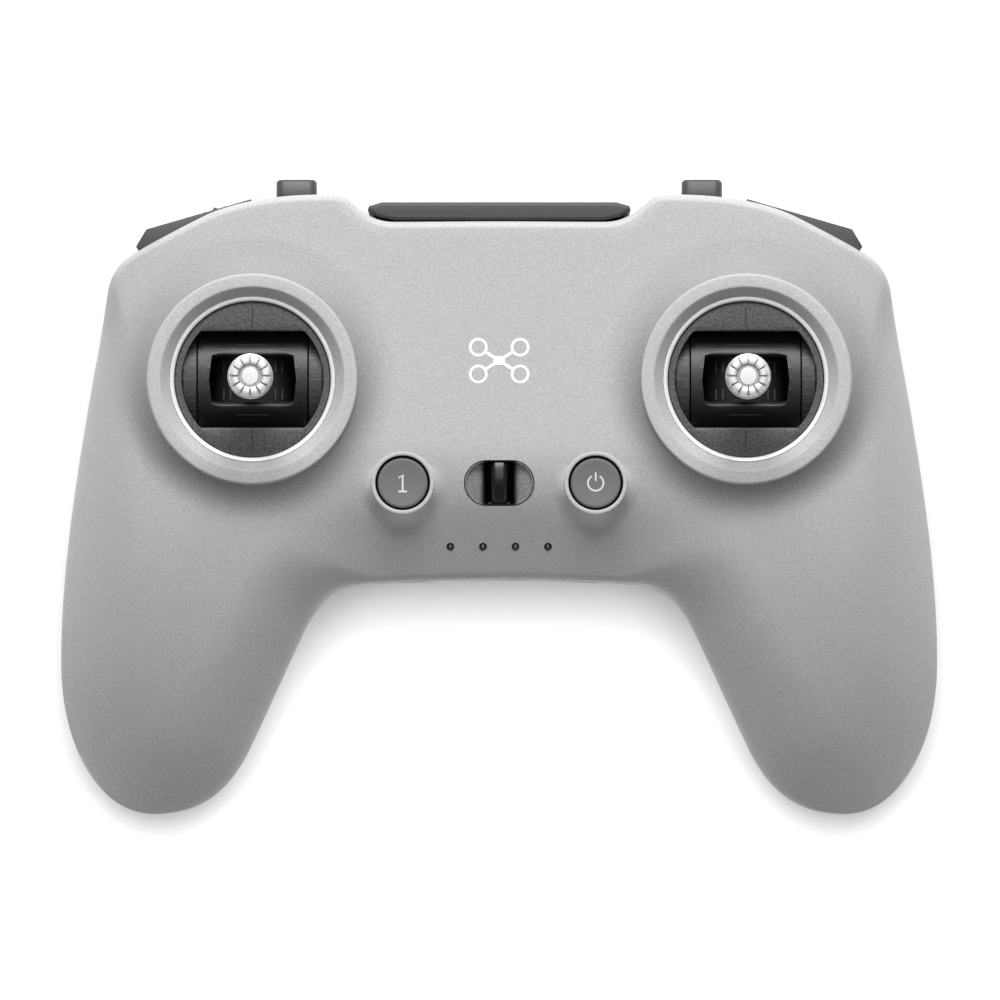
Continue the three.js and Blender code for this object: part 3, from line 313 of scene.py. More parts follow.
def skin_z(skin, x, y, distance, thickness=0):
    """The skin's height: an upright foot at the parting line, a quarter of an ellipse, then its level."""
    base = parting(y)
    level = skin["level"](x, y) - skin["up"] * thickness
    foot = (skin["level"](x, y) - base) * skin["upright"](x, y)
    share = np.clip(distance / np.maximum(0.6, skin["round"](x, y) - thickness), 0, 1)
    roll = np.sqrt(1 - (1 - share) ** 2)
    return mix(base + foot - skin["up"] * thickness * 0.5, level, roll)


def housing(skin, thickness, push, every, rolls, middles):
    """A closed half of the case from straight ribs between the outer and inner edges, mirrored across
    the middle. A rib's points crowd towards its two rounded ends, as the cosine of a quarter turn, and
    the parting surface, pushed up or down, closes it."""
    a = inset(outer_edge, thickness, -1)[::every]
    b = inset(inner_edge, thickness, 1)[::every]
    length = np.linalg.norm(b - a, axis=1)
    round_a, round_b = skin["round"](a[:, 0], a[:, 1]), skin["round"](b[:, 0], b[:, 1])
    squeeze = np.minimum(1, length / (round_a + round_b))
    ends = 1 - np.cos(np.radians(np.linspace(0, 90, rolls)))
    first = (round_a * squeeze)[:, None] * ends
    last = length[:, None] - (round_b * squeeze)[:, None] * ends[::-1]
    share = np.linspace(0, 1, middles + 2)[1:-1]
    between = first[:, -1:] + (last[:, :1] - first[:, -1:]) * share
    steps = np.concatenate([first, between, last], axis=1)
    t = steps / np.maximum(length, 1e-6)[:, None]
    places = a[:, None, :] + (b - a)[:, None, :] * t[..., None]
    x, y = places[..., 0], places[..., 1]
    distance = np.maximum(0, edge_distance(x, y) - thickness)
    distance[:, [0, -1]] = 0
    z = skin_z(skin, x, y, distance, thickness)
    shape = np.concatenate([places, z[..., None]], -1)
    feet = shape[:, [0, -1]].copy()
    feet[..., 2] = parting(feet[..., 1]) + push
    ring = np.concatenate([feet[:, :1], shape, feet[:, 1:]], axis=1)
    faces = grid(ring.shape[0], ring.shape[1], around=True)
    right = ring.reshape(-1, 3)
    if skin["up"] > 0:
        faces = faces[:, ::-1]
    return joined((right, faces), (right * [-1, 1, 1], faces[:, ::-1]))


cutters = []


def cutter(shape):
    """A closed solid that only cuts. It is taken away once the pieces are made."""
    obj = bpy.data.objects.new("cutter_%d" % len(cutters), new_mesh("cutter", *shape))
    bpy.context.scene.collection.objects.link(obj)
    finished(obj)
    cutters.append(obj)
    return obj


SHOULDER = np.array([HALF - 26.35, TOP - 3.55, 0])
SHOULDER_TILT = math.radians(16.1)
SHOULDER_HALF = 10.2
SHOULDER_LOW, SHOULDER_HIGH = span("right_shoulder_panel")[0][2], span("right_shoulder_panel")[1][2]


def on_shoulder(shape, side):
    """A shape from a shoulder panel's own frame, +Y out of its face and +X outwards, to the housing:
    turned about Z by the panel's tilt, then moved to its corner."""
    (x, y, z), faces = shape[0].T, shape[1]
    c, s = math.cos(SHOULDER_TILT), math.sin(SHOULDER_TILT)
    turned_out = np.stack([c * x + s * y, c * y - s * x, z], -1)
    return (turned_out + SHOULDER) * [side, 1, 1], faces


def shoulder_window(margin):
    """The opening round a shoulder panel, with a margin to the panel's own outline."""
    half = SHOULDER_HALF
    outline = [
        (-half - margin, margin),
        (half + margin * 0.6, margin),
        (half + 2.8 + margin, -2.6 + margin * 0.4),
        (half + 1.9 + margin, -5.4 - margin),
        (-half - margin, -2.8 - margin),
    ]
    return prism(outline, SHOULDER_LOW - margin, SHOULDER_HIGH + margin)


GIMBAL_X, GIMBAL_Y = middle("right_gimbal_trim_ring")[:2]
WELL_RADIUS = 15.45
BUTTON_X, CONTROL_Y = middle("power_button")[:2]
BUTTON_BORE = 5.1
LAMP_Y, LAMP_PITCH, LAMP_BORE = -9.4, 6.08, 0.75
LANYARD_HALF, LANYARD_RADIUS = 6.6, 4.25
TOGGLE_X, _, TOGGLE_Z = middle("aux_toggle_lever")
TOGGLE_SLOT = (8.2, 8.64)
WELL_CUT, FACE_CUT, LAMP_CUT = (34, 50), (30, 45), (25, 45)  # heights that the cuts run between

front_cuts = [cutter(housing(FRONT, WALL, -WALL, RIB_STEPS, 5, 7))]
shoulder_cuts = []
for _, side in SIDES:
    well = circle(WELL_RADIUS, 96, (side * GIMBAL_X, GIMBAL_Y))
    front_cuts.append(cutter(prism(well, *WELL_CUT)))
    bore = circle(BUTTON_BORE, 64, (side * BUTTON_X, CONTROL_Y))
    front_cuts.append(cutter(prism(bore, *FACE_CUT)))
    for lamp in (0.5, 1.5):
        hole = circle(LAMP_BORE, 24, (side * lamp * LAMP_PITCH, LAMP_Y))
        front_cuts.append(cutter(prism(hole, *LAMP_CUT)))
    slot_hole = upright(prism(rounded(*TOGGLE_SLOT, 1.2), -8, 8))
    front_cuts.append(cutter(moved(slot_hole, [side * TOGGLE_X, TOP, TOGGLE_Z])))
    shoulder_cuts.append(cutter(on_shoulder(shoulder_window(FIT), side)))
    front_cuts.append(shoulder_cuts[-1])
recess = rounded(2 * LANYARD_HALF, 2 * LANYARD_RADIUS, LANYARD_RADIUS - 0.01, 16, (0, CONTROL_Y))
front_cuts.append(cutter(prism(recess, *FACE_CUT)))
tongue = [(-NOTCH_HALF, -3.5), (NOTCH_HALF, -3.5), (NOTCH_HALF, 2), (-NOTCH_HALF, 2)]
port = upright(prism(rounded(9.5, 3.8, 1.89, 10), -4, 4))
end_cuts = [cutter(moved(prism(tongue, 9.3, 35.8), [0, NOTCH, 0]))]
end_cuts.append(cutter(moved(port, [0, APRON, 20.8])))


def node_group(name, inputs, outputs):
    """An empty shader node group with these sockets."""
    tree = bpy.data.node_groups.new(name, "ShaderNodeTree")
    for title, kind, value in inputs:
        socket = tree.interface.new_socket(name=title, in_out="INPUT", socket_type=kind)
        if value is not None:
            socket.default_value = value
    for title, kind in outputs:
        tree.interface.new_socket(name=title, in_out="OUTPUT", socket_type=kind)
    return tree, tree.nodes.new("NodeGroupInput"), tree.nodes.new("NodeGroupOutput")


def grain_group():
    """Spark-eroded mould grain: noise of one grain's size as a bump and a tone, and a slow cloud.
    Size is the grain in metres and Depth its height in metres."""
    tree, given, result = node_group(
        "mould_grain",
        [("Size", "NodeSocketFloat", 0.0004), ("Depth", "NodeSocketFloat", 0.00002)],
        [("Tone", "NodeSocketFloat"), ("Cloud", "NodeSocketFloat"), ("Normal", "NodeSocketVector")],
    )
    nodes, links = tree.nodes, tree.links
    where = nodes.new("ShaderNodeTexCoord")
    scale = nodes.new("ShaderNodeMath")
    scale.operation = "DIVIDE"
    scale.inputs[0].default_value = 1
    links.new(given.outputs["Size"], scale.inputs[1])
    fine = nodes.new("ShaderNodeTexNoise")
    fine.inputs["Detail"].default_value = 2
    fine.inputs["Roughness"].default_value = 0.6
    links.new(where.outputs["Object"], fine.inputs["Vector"])
    links.new(scale.outputs[0], fine.inputs["Scale"])
    bump = nodes.new("ShaderNodeBump")
    bump.inputs["Strength"].default_value = 1
    links.new(given.outputs["Depth"], bump.inputs["Distance"])
    links.new(fine.outputs["Fac"], bump.inputs["Height"])
    links.new(bump.outputs["Normal"], result.inputs["Normal"])
    contrast = nodes.new("ShaderNodeMapRange")
    contrast.inputs["From Min"].default_value = 0.35
    contrast.inputs["From Max"].default_value = 0.65
    links.new(fine.outputs["Fac"], contrast.inputs["Value"])
    links.new(contrast.outputs["Result"], result.inputs["Tone"])
    cloud = nodes.new("ShaderNodeTexNoise")
    cloud.inputs["Scale"].default_value = 55
    cloud.inputs["Detail"].default_value = 4
    links.new(where.outputs["Object"], cloud.inputs["Vector"])
    links.new(cloud.outputs["Fac"], result.inputs["Cloud"])
    return tree


GRAIN = grain_group()


def linear(level):
    """A grey or colour given on the 0 to 255 display scale, as linear light."""
    value = np.atleast_1d(np.array(level, float)) / 255
    value = np.where(value < 0.04045, value / 12.92, ((value + 0.055) / 1.055) ** 2.4)
    return tuple(np.broadcast_to(value, 3)) + (1.0,)


def moulded(name, level, rough, grain=0.0004, depth=0.00001, mottled=0.05, metal=0, coat=0):
    """A finish with mould grain, its tone mottled by this share either way, and a slightly uneven gloss."""
    material = bpy.data.materials.new(name)
    material.use_nodes = True
    nodes, links = material.node_tree.nodes, material.node_tree.links
    shader = nodes["Principled BSDF"]
    texture = nodes.new("ShaderNodeGroup")
    texture.node_tree = GRAIN
    texture.inputs["Size"].default_value = grain
    texture.inputs["Depth"].default_value = depth
    base = np.array(linear(level))
    tone = nodes.new("ShaderNodeMix")
    tone.data_type = "RGBA"
    tone.inputs["A"].default_value = tuple(base[:3] * (1 - mottled)) + (1,)
    tone.inputs["B"].default_value = tuple(np.minimum(base[:3] * (1 + mottled), 1)) + (1,)
    links.new(texture.outputs["Tone"], tone.inputs["Factor"])
    links.new(tone.outputs["Result"], shader.inputs["Base Color"])
    gloss = nodes.new("ShaderNodeMapRange")
    gloss.inputs["To Min"].default_value = rough - 0.05
    gloss.inputs["To Max"].default_value = rough + 0.05
    links.new(texture.outputs["Cloud"], gloss.inputs["Value"])
    links.new(gloss.outputs["Result"], shader.inputs["Roughness"])
    links.new(texture.outputs["Normal"], shader.inputs["Normal"])
    shader.inputs["Metallic"].default_value = metal
    shader.inputs["Coat Weight"].default_value = coat
    return material


def colour_chain(material):
    """The material's nodes, links and shader, and the socket that now feeds its colour."""
    nodes, links = material.node_tree.nodes, material.node_tree.links
    shader = nodes["Principled BSDF"]
    return nodes, links, shader, shader.inputs["Base Color"].links[0].from_socket


def sweep_shade_group():
    """A mask for the painted shade round the two gimbals' sweeps: 0 where a sweep starts, 1 inside it and
    beyond its end. Centre is the right gimbal's middle, and stands for both sides."""
    tree, given, result = node_group(
        "sweep_painted_shade",
        [
            ("Centre", "NodeSocketVector", None),
            ("Start", "NodeSocketFloat", 0.0197),
            ("End", "NodeSocketFloat", 0.028),
        ],
        [("Tone", "NodeSocketFloat")],
    )
    nodes, links = tree.nodes, tree.links
    where = nodes.new("ShaderNodeTexCoord")
    apiece = nodes.new("ShaderNodeSeparateXYZ")
    both = nodes.new("ShaderNodeMath")
    both.operation = "ABSOLUTE"
    level = nodes.new("ShaderNodeCombineXYZ")
    apart = nodes.new("ShaderNodeVectorMath")
    apart.operation = "DISTANCE"
    links.new(where.outputs["Object"], apiece.inputs[0])
    links.new(apiece.outputs["X"], both.inputs[0])
    links.new(both.outputs[0], level.inputs["X"])
    links.new(apiece.outputs["Y"], level.inputs["Y"])
    links.new(level.outputs[0], apart.inputs[0])
    links.new(given.outputs["Centre"], apart.inputs[1])
    fade = nodes.new("ShaderNodeMapRange")
    fade.interpolation_type = "SMOOTHSTEP"
    links.new(apart.outputs["Value"], fade.inputs["Value"])
    links.new(given.outputs["Start"], fade.inputs["From Min"])
    links.new(given.outputs["End"], fade.inputs["From Max"])
    inside = nodes.new("ShaderNodeMath")
    inside.operation = "LESS_THAN"
    links.new(apart.outputs["Value"], inside.inputs[0])
    links.new(given.outputs["Start"], inside.inputs[1])
    either = nodes.new("ShaderNodeMath")
    either.operation = "MAXIMUM"
    links.new(fade.outputs["Result"], either.inputs[0])
    links.new(inside.outputs[0], either.inputs[1])
    links.new(either.outputs[0], result.inputs["Tone"])
    return tree


def paint_sweep_shade(material, darkest_shade):
    """Darkens the material to this share of its tone where the sweeps start: painted shade round the
    collars.
    """
    nodes, links, shader, tone = colour_chain(material)
    sweep = nodes.new("ShaderNodeGroup")
    sweep.node_tree = sweep_shade_group()
    sweep.inputs["Centre"].default_value = (GIMBAL_X / 1000, GIMBAL_Y / 1000, 0)
    share = nodes.new("ShaderNodeMapRange")
    share.inputs["To Min"].default_value = darkest_shade
    links.new(sweep.outputs["Tone"], share.inputs["Value"])
    shaded_tone = nodes.new("ShaderNodeVectorMath")
    shaded_tone.operation = "SCALE"
    links.new(tone, shaded_tone.inputs[0])
    links.new(share.outputs["Result"], shaded_tone.inputs["Scale"])
    links.new(shaded_tone.outputs[0], shader.inputs["Base Color"])


SHELL = moulded("shell_grey", 176, 0.62, grain=0.00032, depth=0.00004, mottled=0.11)
# Painted shade: the shell's tone is darkened in a ring round each gimbal's sweep.
paint_sweep_shade(SHELL, 0.62)

place(
    "front_housing",
    housing(FRONT, 0, SEAM / 2, 1, 14, 30),
    "housing",
    SHELL,
    ["front_shell"],
    cuts=front_cuts + end_cuts,
    crease=28,
)

# ---------------------------------------------------------------------------------------------
# Rear housing. The lower half of the case in the same plastic, with a battery hump, palm swells
# on the grips, screw holes, two stores for the sticks and the port's opening.
# ---------------------------------------------------------------------------------------------


def back_z(x, y):
    """Height of the back: raised by 5, less a smooth hump in the middle and a bell-shaped swell on
    each grip, and nowhere below the table."""
    hump = smooth(HALF - 34, HALF - 46.5, x) * smooth(0, 14, y)
    swell = np.exp(-(((x - (HALF - 18.5)) / 20) ** 2) - ((y - (TIP + 25.5)) / 22) ** 2)
    return np.maximum(0, 5 * (1 - hump - swell))


REAR = {
    "up": -1,
    "level": back_z,
    "round": lambda x, y: mix(7, 15, grip_share(x, y)),
    "upright": lambda x, y: mix(0.62, 0.06, grip_share(x, y)),
}
STORE_RADIUS, STORE_X, STORE_Z = 3.1, 16, 15
SCREW_HOLE = 2.6

rear_cuts = [cutter(housing(REAR, WALL, WALL, RIB_STEPS, 5, 7))]
for (_, side), window in zip(SIDES, shoulder_cuts):
    store = upright(prism(circle(STORE_RADIUS, 40), -12, 12))
    rear_cuts += [window, cutter(moved(store, [side * STORE_X, APRON + 2, STORE_Z]))]
rear_cuts += end_cuts
for level in ("top", "waist", "grip"):
    for name, _ in SIDES:
        hole = circle(SCREW_HOLE, 40, middle(f"screw_{name}_{level}")[:2])
        rear_cuts.append(cutter(prism(hole, -1, 8)))

place(
    "rear_housing",
    housing(REAR, 0, -SEAM / 2, 1, 12, 22),
    "housing",
    SHELL,
    ["rear_shell"],
    cuts=rear_cuts,
    crease=28,
)

# ---------------------------------------------------------------------------------------------
# Collars and button lips. Raised rings of the front housing round the gimbals and face buttons,
# in its own plastic, swept hollow down to the face so that they run into it without a line.
# ---------------------------------------------------------------------------------------------
COLLAR = shell_high[2]
COLLAR_INSIDE, COLLAR_CREST, COLLAR_OUTSIDE = 17.2, 19.6, 19.65
PLATE_TOP = span("right_gimbal_plate")[1][2]
BUTTON_TOP = span("power_button")[1][2] + 0.2
LIP_RADIUS = 5.92


def collar(centre, inside, edge, top, reach, power, segments):
    """Rings of (radius, height) inside, then a sweep from the edge down to the face over reach. The
    rest of its height above the face falls by the power of what is left of the way."""
    angle = np.linspace(0, 2 * np.pi, segments, endpoint=False)
    rows = [np.stack([r * np.cos(angle), r * np.sin(angle), np.full(segments, z)], -1) for r, z in inside]
    for t in np.linspace(0, 1, 26)[1:] ** 1.3:
        radius = edge + reach * t
        x, y = centre[0] + radius * np.cos(angle), centre[1] + radius * np.sin(angle)
        skin = skin_z(FRONT, np.abs(x), y, edge_distance(np.abs(x), y))
        z = skin + (top - skin) * (1 - t) ** power - 0.02 * t**8
        rows.append(np.stack([x - centre[0], y - centre[1], z], -1))
    points = np.concatenate(rows) + [centre[0], centre[1], 0]
    return points, grid(len(rows), segments, around=True)


def fillet(a, b, c, radius, steps=4):
    """Points of a parabola that rounds the corner b between a and c."""
    a, b, c = map(np.array, (a, b, c))
    u, v = (a - b) / np.linalg.norm(a - b), (c - b) / np.linalg.norm(c - b)
    p, q = b + u * radius, b + v * radius
    t = np.linspace(0, 1, steps + 1)[:, None]
    return [tuple(r) for r in (1 - t) ** 2 * p + 2 * t * (1 - t) * b + t**2 * q]


well_floor, well_edge = (WELL_RADIUS, 36), (WELL_RADIUS, PLATE_TOP + 0.8)
collar_inside, collar_crest = (COLLAR_INSIDE, COLLAR), (COLLAR_CREST, COLLAR)
COLLAR_ROWS = [well_floor, (WELL_RADIUS, PLATE_TOP + 0.7)]
COLLAR_ROWS += fillet(well_floor, well_edge, collar_inside, 0.1)
COLLAR_ROWS += fillet(well_edge, collar_inside, (19.5, COLLAR), 0.25)
COLLAR_ROWS += fillet(collar_inside, collar_crest, (COLLAR_OUTSIDE, COLLAR - 1), 0.45)
bore_floor, lip_inside = (BUTTON_BORE, 35), (BUTTON_BORE, BUTTON_TOP + 0.1)
lip_outside = (5.9, BUTTON_TOP + 0.1)
LIP_ROWS = [bore_floor, (BUTTON_BORE, BUTTON_TOP - 0.2)]
LIP_ROWS += fillet(bore_floor, lip_inside, lip_outside, 0.25)
LIP_ROWS += fillet(lip_inside, lip_outside, (5.95, BUTTON_TOP - 0.5), 0.3)

for name, side in SIDES:
    place(
        f"{name}_collar",
        collar((side * GIMBAL_X, GIMBAL_Y), COLLAR_ROWS, COLLAR_OUTSIDE, COLLAR - 0.7, 7, 3.0, 160),
        "housing",
        SHELL,
        ["front_shell"],
        crease=50,
    )
    place(
        f"{name}_button_lip",
        collar((side * BUTTON_X, CONTROL_Y), LIP_ROWS, LIP_RADIUS, BUTTON_TOP - 0.25, 2.8, 2.6, 96),
        "housing",
        SHELL,
        ["front_shell"],
        crease=50,
    )

# ---------------------------------------------------------------------------------------------
# Trim rings. Thin rings of turned bright aluminium, pressed in between a gimbal's cover plate and
# its collar.
# ---------------------------------------------------------------------------------------------
TRIM = moulded("trim_aluminium", 238, 0.3, depth=0.000002, metal=0.3, mottled=0.02)
TRIM_RADII, TRIM_FOOT = (14.6, 15.42), 40.6


def turned(profile, segments):
    """A surface of revolution about Z, from (radius, height) pairs that start and end on the axis or
    come back to their start."""
    profile = np.array(profile, float)
    angle = np.linspace(0, 2 * np.pi, segments, endpoint=False)
    radius, height = profile[:, :1], profile[:, 1:]
    points = np.stack([radius * np.cos(angle), radius * np.sin(angle), height + 0 * angle], -1)
    return points.reshape(-1, 3), grid(len(profile), segments, around=True)


trim_inside, trim_outside = TRIM_RADII
TRIM_PROFILE = [(trim_inside, TRIM_FOOT), (trim_outside, TRIM_FOOT), (trim_outside, PLATE_TOP + 0.75)]
TRIM_PROFILE += [(15.3, PLATE_TOP + 0.86), (14.75, PLATE_TOP + 0.7), (trim_inside, PLATE_TOP + 0.5)]
TRIM_PROFILE += TRIM_PROFILE[:1]
for name, side in SIDES:
    place(
        f"{name}_trim",
        moved(turned(TRIM_PROFILE, 160), [side * GIMBAL_X, GIMBAL_Y, 0]),
        "housing",
        TRIM,
        [f"{name}_gimbal_trim_ring"],
        crease=50,
    )

# ---------------------------------------------------------------------------------------------
# Gimbal cover plates. Coarse-grained charcoal discs that lie over each gimbal, with an opening
# that is a circle with two flat sides, and a tick engraved above and below it.
# ---------------------------------------------------------------------------------------------
PLATE = moulded("grained_plate", 70, 0.6, grain=0.0005, depth=0.00006, mottled=0.45)
PLATE_RADIUS, OPENING_RADIUS, OPENING_HALF = 14.45, 13.2, 9
TICK_HALF, TICK_REACH, TICK_MIDDLE = 0.13, 2, 11.5
WEAR = 0.15


def plate_surface():
    """A polar surface whose radius runs from the opening out to the rim, rounded over at both."""
    angle = np.linspace(0, 2 * np.pi, 240, endpoint=False)
    opening = np.minimum(OPENING_RADIUS, OPENING_HALF / np.maximum(np.abs(np.sin(angle)), 1e-3))
    rows = []
    for t, drop in [(0, 1.2), (0, 0.25), (0.03, 0.08), (0.08, 0), (0.5, 0), (0.94, 0), (1, 0.12), (1, 1.2)]:
        radius = opening + (PLATE_RADIUS - opening) * t
        z = np.full(angle.shape, PLATE_TOP - drop)
        rows.append(np.stack([radius * np.cos(angle), radius * np.sin(angle), z], -1))
    return np.concatenate(rows), grid(len(rows), len(angle), around=True)


def edge_group():
    """A mask of the edges: 1 where the surface bends within Radius, broken up by noise."""
    tree, given, result = node_group(
        "edge_mask", [("Radius", "NodeSocketFloat", 0.0004)], [("Mask", "NodeSocketFloat")]
    )
    nodes, links = tree.nodes, tree.links
    bevel = nodes.new("ShaderNodeBevel")
    bevel.samples = 4
    links.new(given.outputs["Radius"], bevel.inputs["Radius"])
    shape = nodes.new("ShaderNodeNewGeometry")
    dot = nodes.new("ShaderNodeVectorMath")
    dot.operation = "DOT_PRODUCT"
    links.new(bevel.outputs["Normal"], dot.inputs[0])
    links.new(shape.outputs["Normal"], dot.inputs[1])
    ramp = nodes.new("ShaderNodeMapRange")
    ramp.inputs["From Min"].default_value = 0.995
    ramp.inputs["From Max"].default_value = 0.90
    links.new(dot.outputs["Value"], ramp.inputs["Value"])
    noise = nodes.new("ShaderNodeTexNoise")
    noise.inputs["Scale"].default_value = 700
    where = nodes.new("ShaderNodeTexCoord")
    links.new(where.outputs["Object"], noise.inputs["Vector"])
    mask = nodes.new("ShaderNodeMath")
    mask.operation = "MULTIPLY"
    links.new(ramp.outputs["Result"], mask.inputs[0])
    links.new(noise.outputs["Fac"], mask.inputs[1])
    links.new(mask.outputs[0], result.inputs["Mask"])
    return tree


EDGE = edge_group()


def rubbed(material, level):
    """The material with its edges rubbed a little lighter than its level."""
    nodes, links, shader, tone = colour_chain(material)
    edges = nodes.new("ShaderNodeGroup")
    edges.node_tree = EDGE
    lighter = nodes.new("ShaderNodeMix")
    lighter.data_type = "RGBA"
    base = np.array(linear(level))
    lighter.inputs["B"].default_value = tuple(np.minimum(base[:3] * 1.6 + 0.03, 1)) + (1,)
    amount = nodes.new("ShaderNodeMath")
    amount.operation = "MULTIPLY"
    amount.inputs[1].default_value = WEAR
    links.new(edges.outputs["Mask"], amount.inputs[0])
    links.new(amount.outputs[0], lighter.inputs["Factor"])
    links.new(tone, lighter.inputs["A"])
    links.new(lighter.outputs["Result"], shader.inputs["Base Color"])
    return material


def worn(name, level, rough, **finish):
    """A moulded finish with rubbed edges."""
    return rubbed(moulded(name, level, rough, **finish), level)


BLACK = worn("satin_black", 26, 0.5, grain=0.0003, depth=0.000006)

for name, side in SIDES:
    centre = [side * GIMBAL_X, GIMBAL_Y, 0]
    place(
        f"{name}_plate",
        moved(plate_surface(), centre),
        "housing",
        PLATE,
        [f"{name}_gimbal_plate"],
        crease=50,
    )
    for label, way in (("low", -1), ("high", 1)):
        low, high = way * TICK_MIDDLE - TICK_REACH, way * TICK_MIDDLE + TICK_REACH
        outline = [(-TICK_HALF, low), (TICK_HALF, low), (TICK_HALF, high), (-TICK_HALF, high)]
        tick = prism(outline, PLATE_TOP - 0.1, PLATE_TOP + 0.02)
        place(f"{name}_plate_tick_{label}", moved(tick, centre), "housing", BLACK)

# ---------------------------------------------------------------------------------------------
# Side caps. Curved cheeks of the gimbal's frame beside the drum, in grained black plastic, each
# with a moulded scale of eleven ticks, the middle one longest.
# ---------------------------------------------------------------------------------------------
PIVOT = middle("right_stick_pin")[2]
CAP = moulded("grained_cap", 50, 0.55, grain=0.0005, depth=0.00004, mottled=0.35)
TICKS = moulded("tick_grey", 78, 0.45, grain=0.0003, depth=0.000004)
CAP_RADIUS, CAP_WALL, CAP_ARC, CAP_REACH = 10.2, 1.3, 72, (10.5, 12.9)
SCALE_STEPS, SCALE_PITCH, SCALE_HALF = 5, 7.9, 0.45  # steps each way, degrees apart, degrees


def arch(radius, wall, start, end, x0, x1, steps):
    """A closed curved sheet round the X axis, from start to end degrees off the top: the ring of its
    outer arc and inner arc, carried from x0 to x1."""
    angle = np.radians(np.linspace(start, end, steps))
    outer = np.stack([radius * np.sin(angle), radius * np.cos(angle)], -1)
    ring = np.concatenate([outer, outer[::-1] * (radius - wall) / radius])
    count = len(ring)
    points = np.concatenate([np.c_[np.full(count, x), ring] for x in (x0, x1)])
    faces = [tuple(f) for f in grid(2, count, around=True)]
    i = np.arange(steps - 1)
    near = np.stack([i, i + 1, count - 2 - i, count - 1 - i], -1)
    faces += [tuple(q) for q in near] + [tuple(q[::-1] + count) for q in near]
    return points, faces


for name, side in SIDES:
    centre = [side * GIMBAL_X, GIMBAL_Y, PIVOT]
    caps, lines = [], []
    for way in (-1, 1):
        x0, x1 = sorted(way * x for x in CAP_REACH)
        caps.append(arch(CAP_RADIUS, CAP_WALL, -CAP_ARC, CAP_ARC, x0, x1, 48))
        for step in range(-SCALE_STEPS, SCALE_STEPS + 1):
            start, length = (10.7, 1.2) if step else (10.55, 2.2)
            x0, x1 = sorted((way * start, way * (start + length)))
            turn = step * SCALE_PITCH
            lines.append(arch(CAP_RADIUS + 0.04, 0.2, turn - SCALE_HALF, turn + SCALE_HALF, x0, x1, 4))
    place(f"{name}_caps", moved(joined(*caps), centre), "housing", CAP)
    place(f"{name}_scale", moved(joined(*lines), centre), "housing", TICKS)

# ---------------------------------------------------------------------------------------------
# Drums. Satin black plastic barrels that rock about X in the gimbal's frame and carry the stick
# through a barrel-shaped window. One drum for each gimbal.
# ---------------------------------------------------------------------------------------------
DRUM_RADIUS, DRUM_HALF, DRUM_ARC = 10.5, 10.2, math.radians(78)
WINDOW_HALF, WINDOW_BULGE = (8.15, 4.93), 0.05


def drum_surface():
    """Rings that run from the window out to the four edges of the drum, rolled about X. The window is
    a superellipse of the ninth power whose sides bulge, and its rim is rounded over."""
    count = 200
    angle = np.linspace(0, 2 * np.pi, count, endpoint=False) + 1e-4
    c, s = np.cos(angle), np.sin(angle)
    wide, high = WINDOW_HALF
    rim = (np.abs(c / wide) ** 9 + np.abs(s / high) ** 9) ** (-1 / 9)
    window = np.stack([rim * c, rim * s], -1)
    window[:, 0] *= 1 + WINDOW_BULGE * (1 - (window[:, 1] / high) ** 2)
    to_end = DRUM_HALF / np.maximum(np.abs(c), 1e-6)
    to_side = DRUM_RADIUS * DRUM_ARC / np.maximum(np.abs(s), 1e-6)
    outside = np.minimum(to_end, to_side)[:, None] * np.stack([c, s], -1)
    levels = [(0, -1.2), (0, -0.35), (0.02, -0.12), (0.05, 0), (0.15, 0), (0.4, 0), (0.7, 0), (0.97, 0)]
    levels += [(1, -0.1), (1, -1.2)]
    rows = []
    for t, level in levels:
        flat = window + (outside - window) * t
        r = DRUM_RADIUS + level
        phi = flat[:, 1] / DRUM_RADIUS
        rows.append(np.stack([flat[:, 0], r * np.sin(phi), r * np.cos(phi)], -1))
    return np.concatenate(rows), grid(len(rows), count, around=True)


for name, side in SIDES:
    drum = moved(drum_surface(), [side * GIMBAL_X, GIMBAL_Y, PIVOT])
    place(f"{name}_drum_skin", drum, f"{name}_drum", BLACK, crease=50)

# ---------------------------------------------------------------------------------------------
# Rockers and necks. A stick's root is a part of a cylinder about Y in black plastic, pinned across
# the drum, with raised ticks on its crown and a neck that the knob is screwed onto.
# ---------------------------------------------------------------------------------------------
ROCKER_RADIUS, ROCKER_HALF, ROCKER_ARC = 7.9, 4.2, 88
NOTCH_WIDTH = 0.22
NOTCH_XS, NOTCH_YS = (-6, -4.4, 4.4, 6), ((1.5, 3.4), (-3.6, -1.7))
NECK_PROFILE = [(0, 6.5), (3, 6.5), (3, 8.6), (2.75, 9.2), (2.4, 11.4), (2.1, 11.6), (0, 11.6)]


def rocker():
    """A prism over an arc about Y, laid down so that its length runs along Y."""
    turn = np.radians(np.linspace(-ROCKER_ARC, ROCKER_ARC, 60))
    section = ROCKER_RADIUS * np.stack([np.sin(turn), np.cos(turn)], -1)
    points, faces = prism(section, -ROCKER_HALF, ROCKER_HALF)
    return points[:, [0, 2, 1]], faces


def notch(x, y0, y1):
    """A short raised bar on the rocker, from y0 to y1, wrapped about its axis."""
    corners = []
    for phi in ((x - NOTCH_WIDTH / 2) / ROCKER_RADIUS, (x + NOTCH_WIDTH / 2) / ROCKER_RADIUS):
        for r in (ROCKER_RADIUS - 0.2, ROCKER_RADIUS + 0.1):
            corners += [(r * math.sin(phi), y, r * math.cos(phi)) for y in (y0, y1)]
    faces = [(0, 1, 3, 2), (4, 6, 7, 5), (0, 4, 5, 1), (2, 3, 7, 6), (0, 2, 6, 4), (1, 5, 7, 3)]
    return np.array(corners), faces


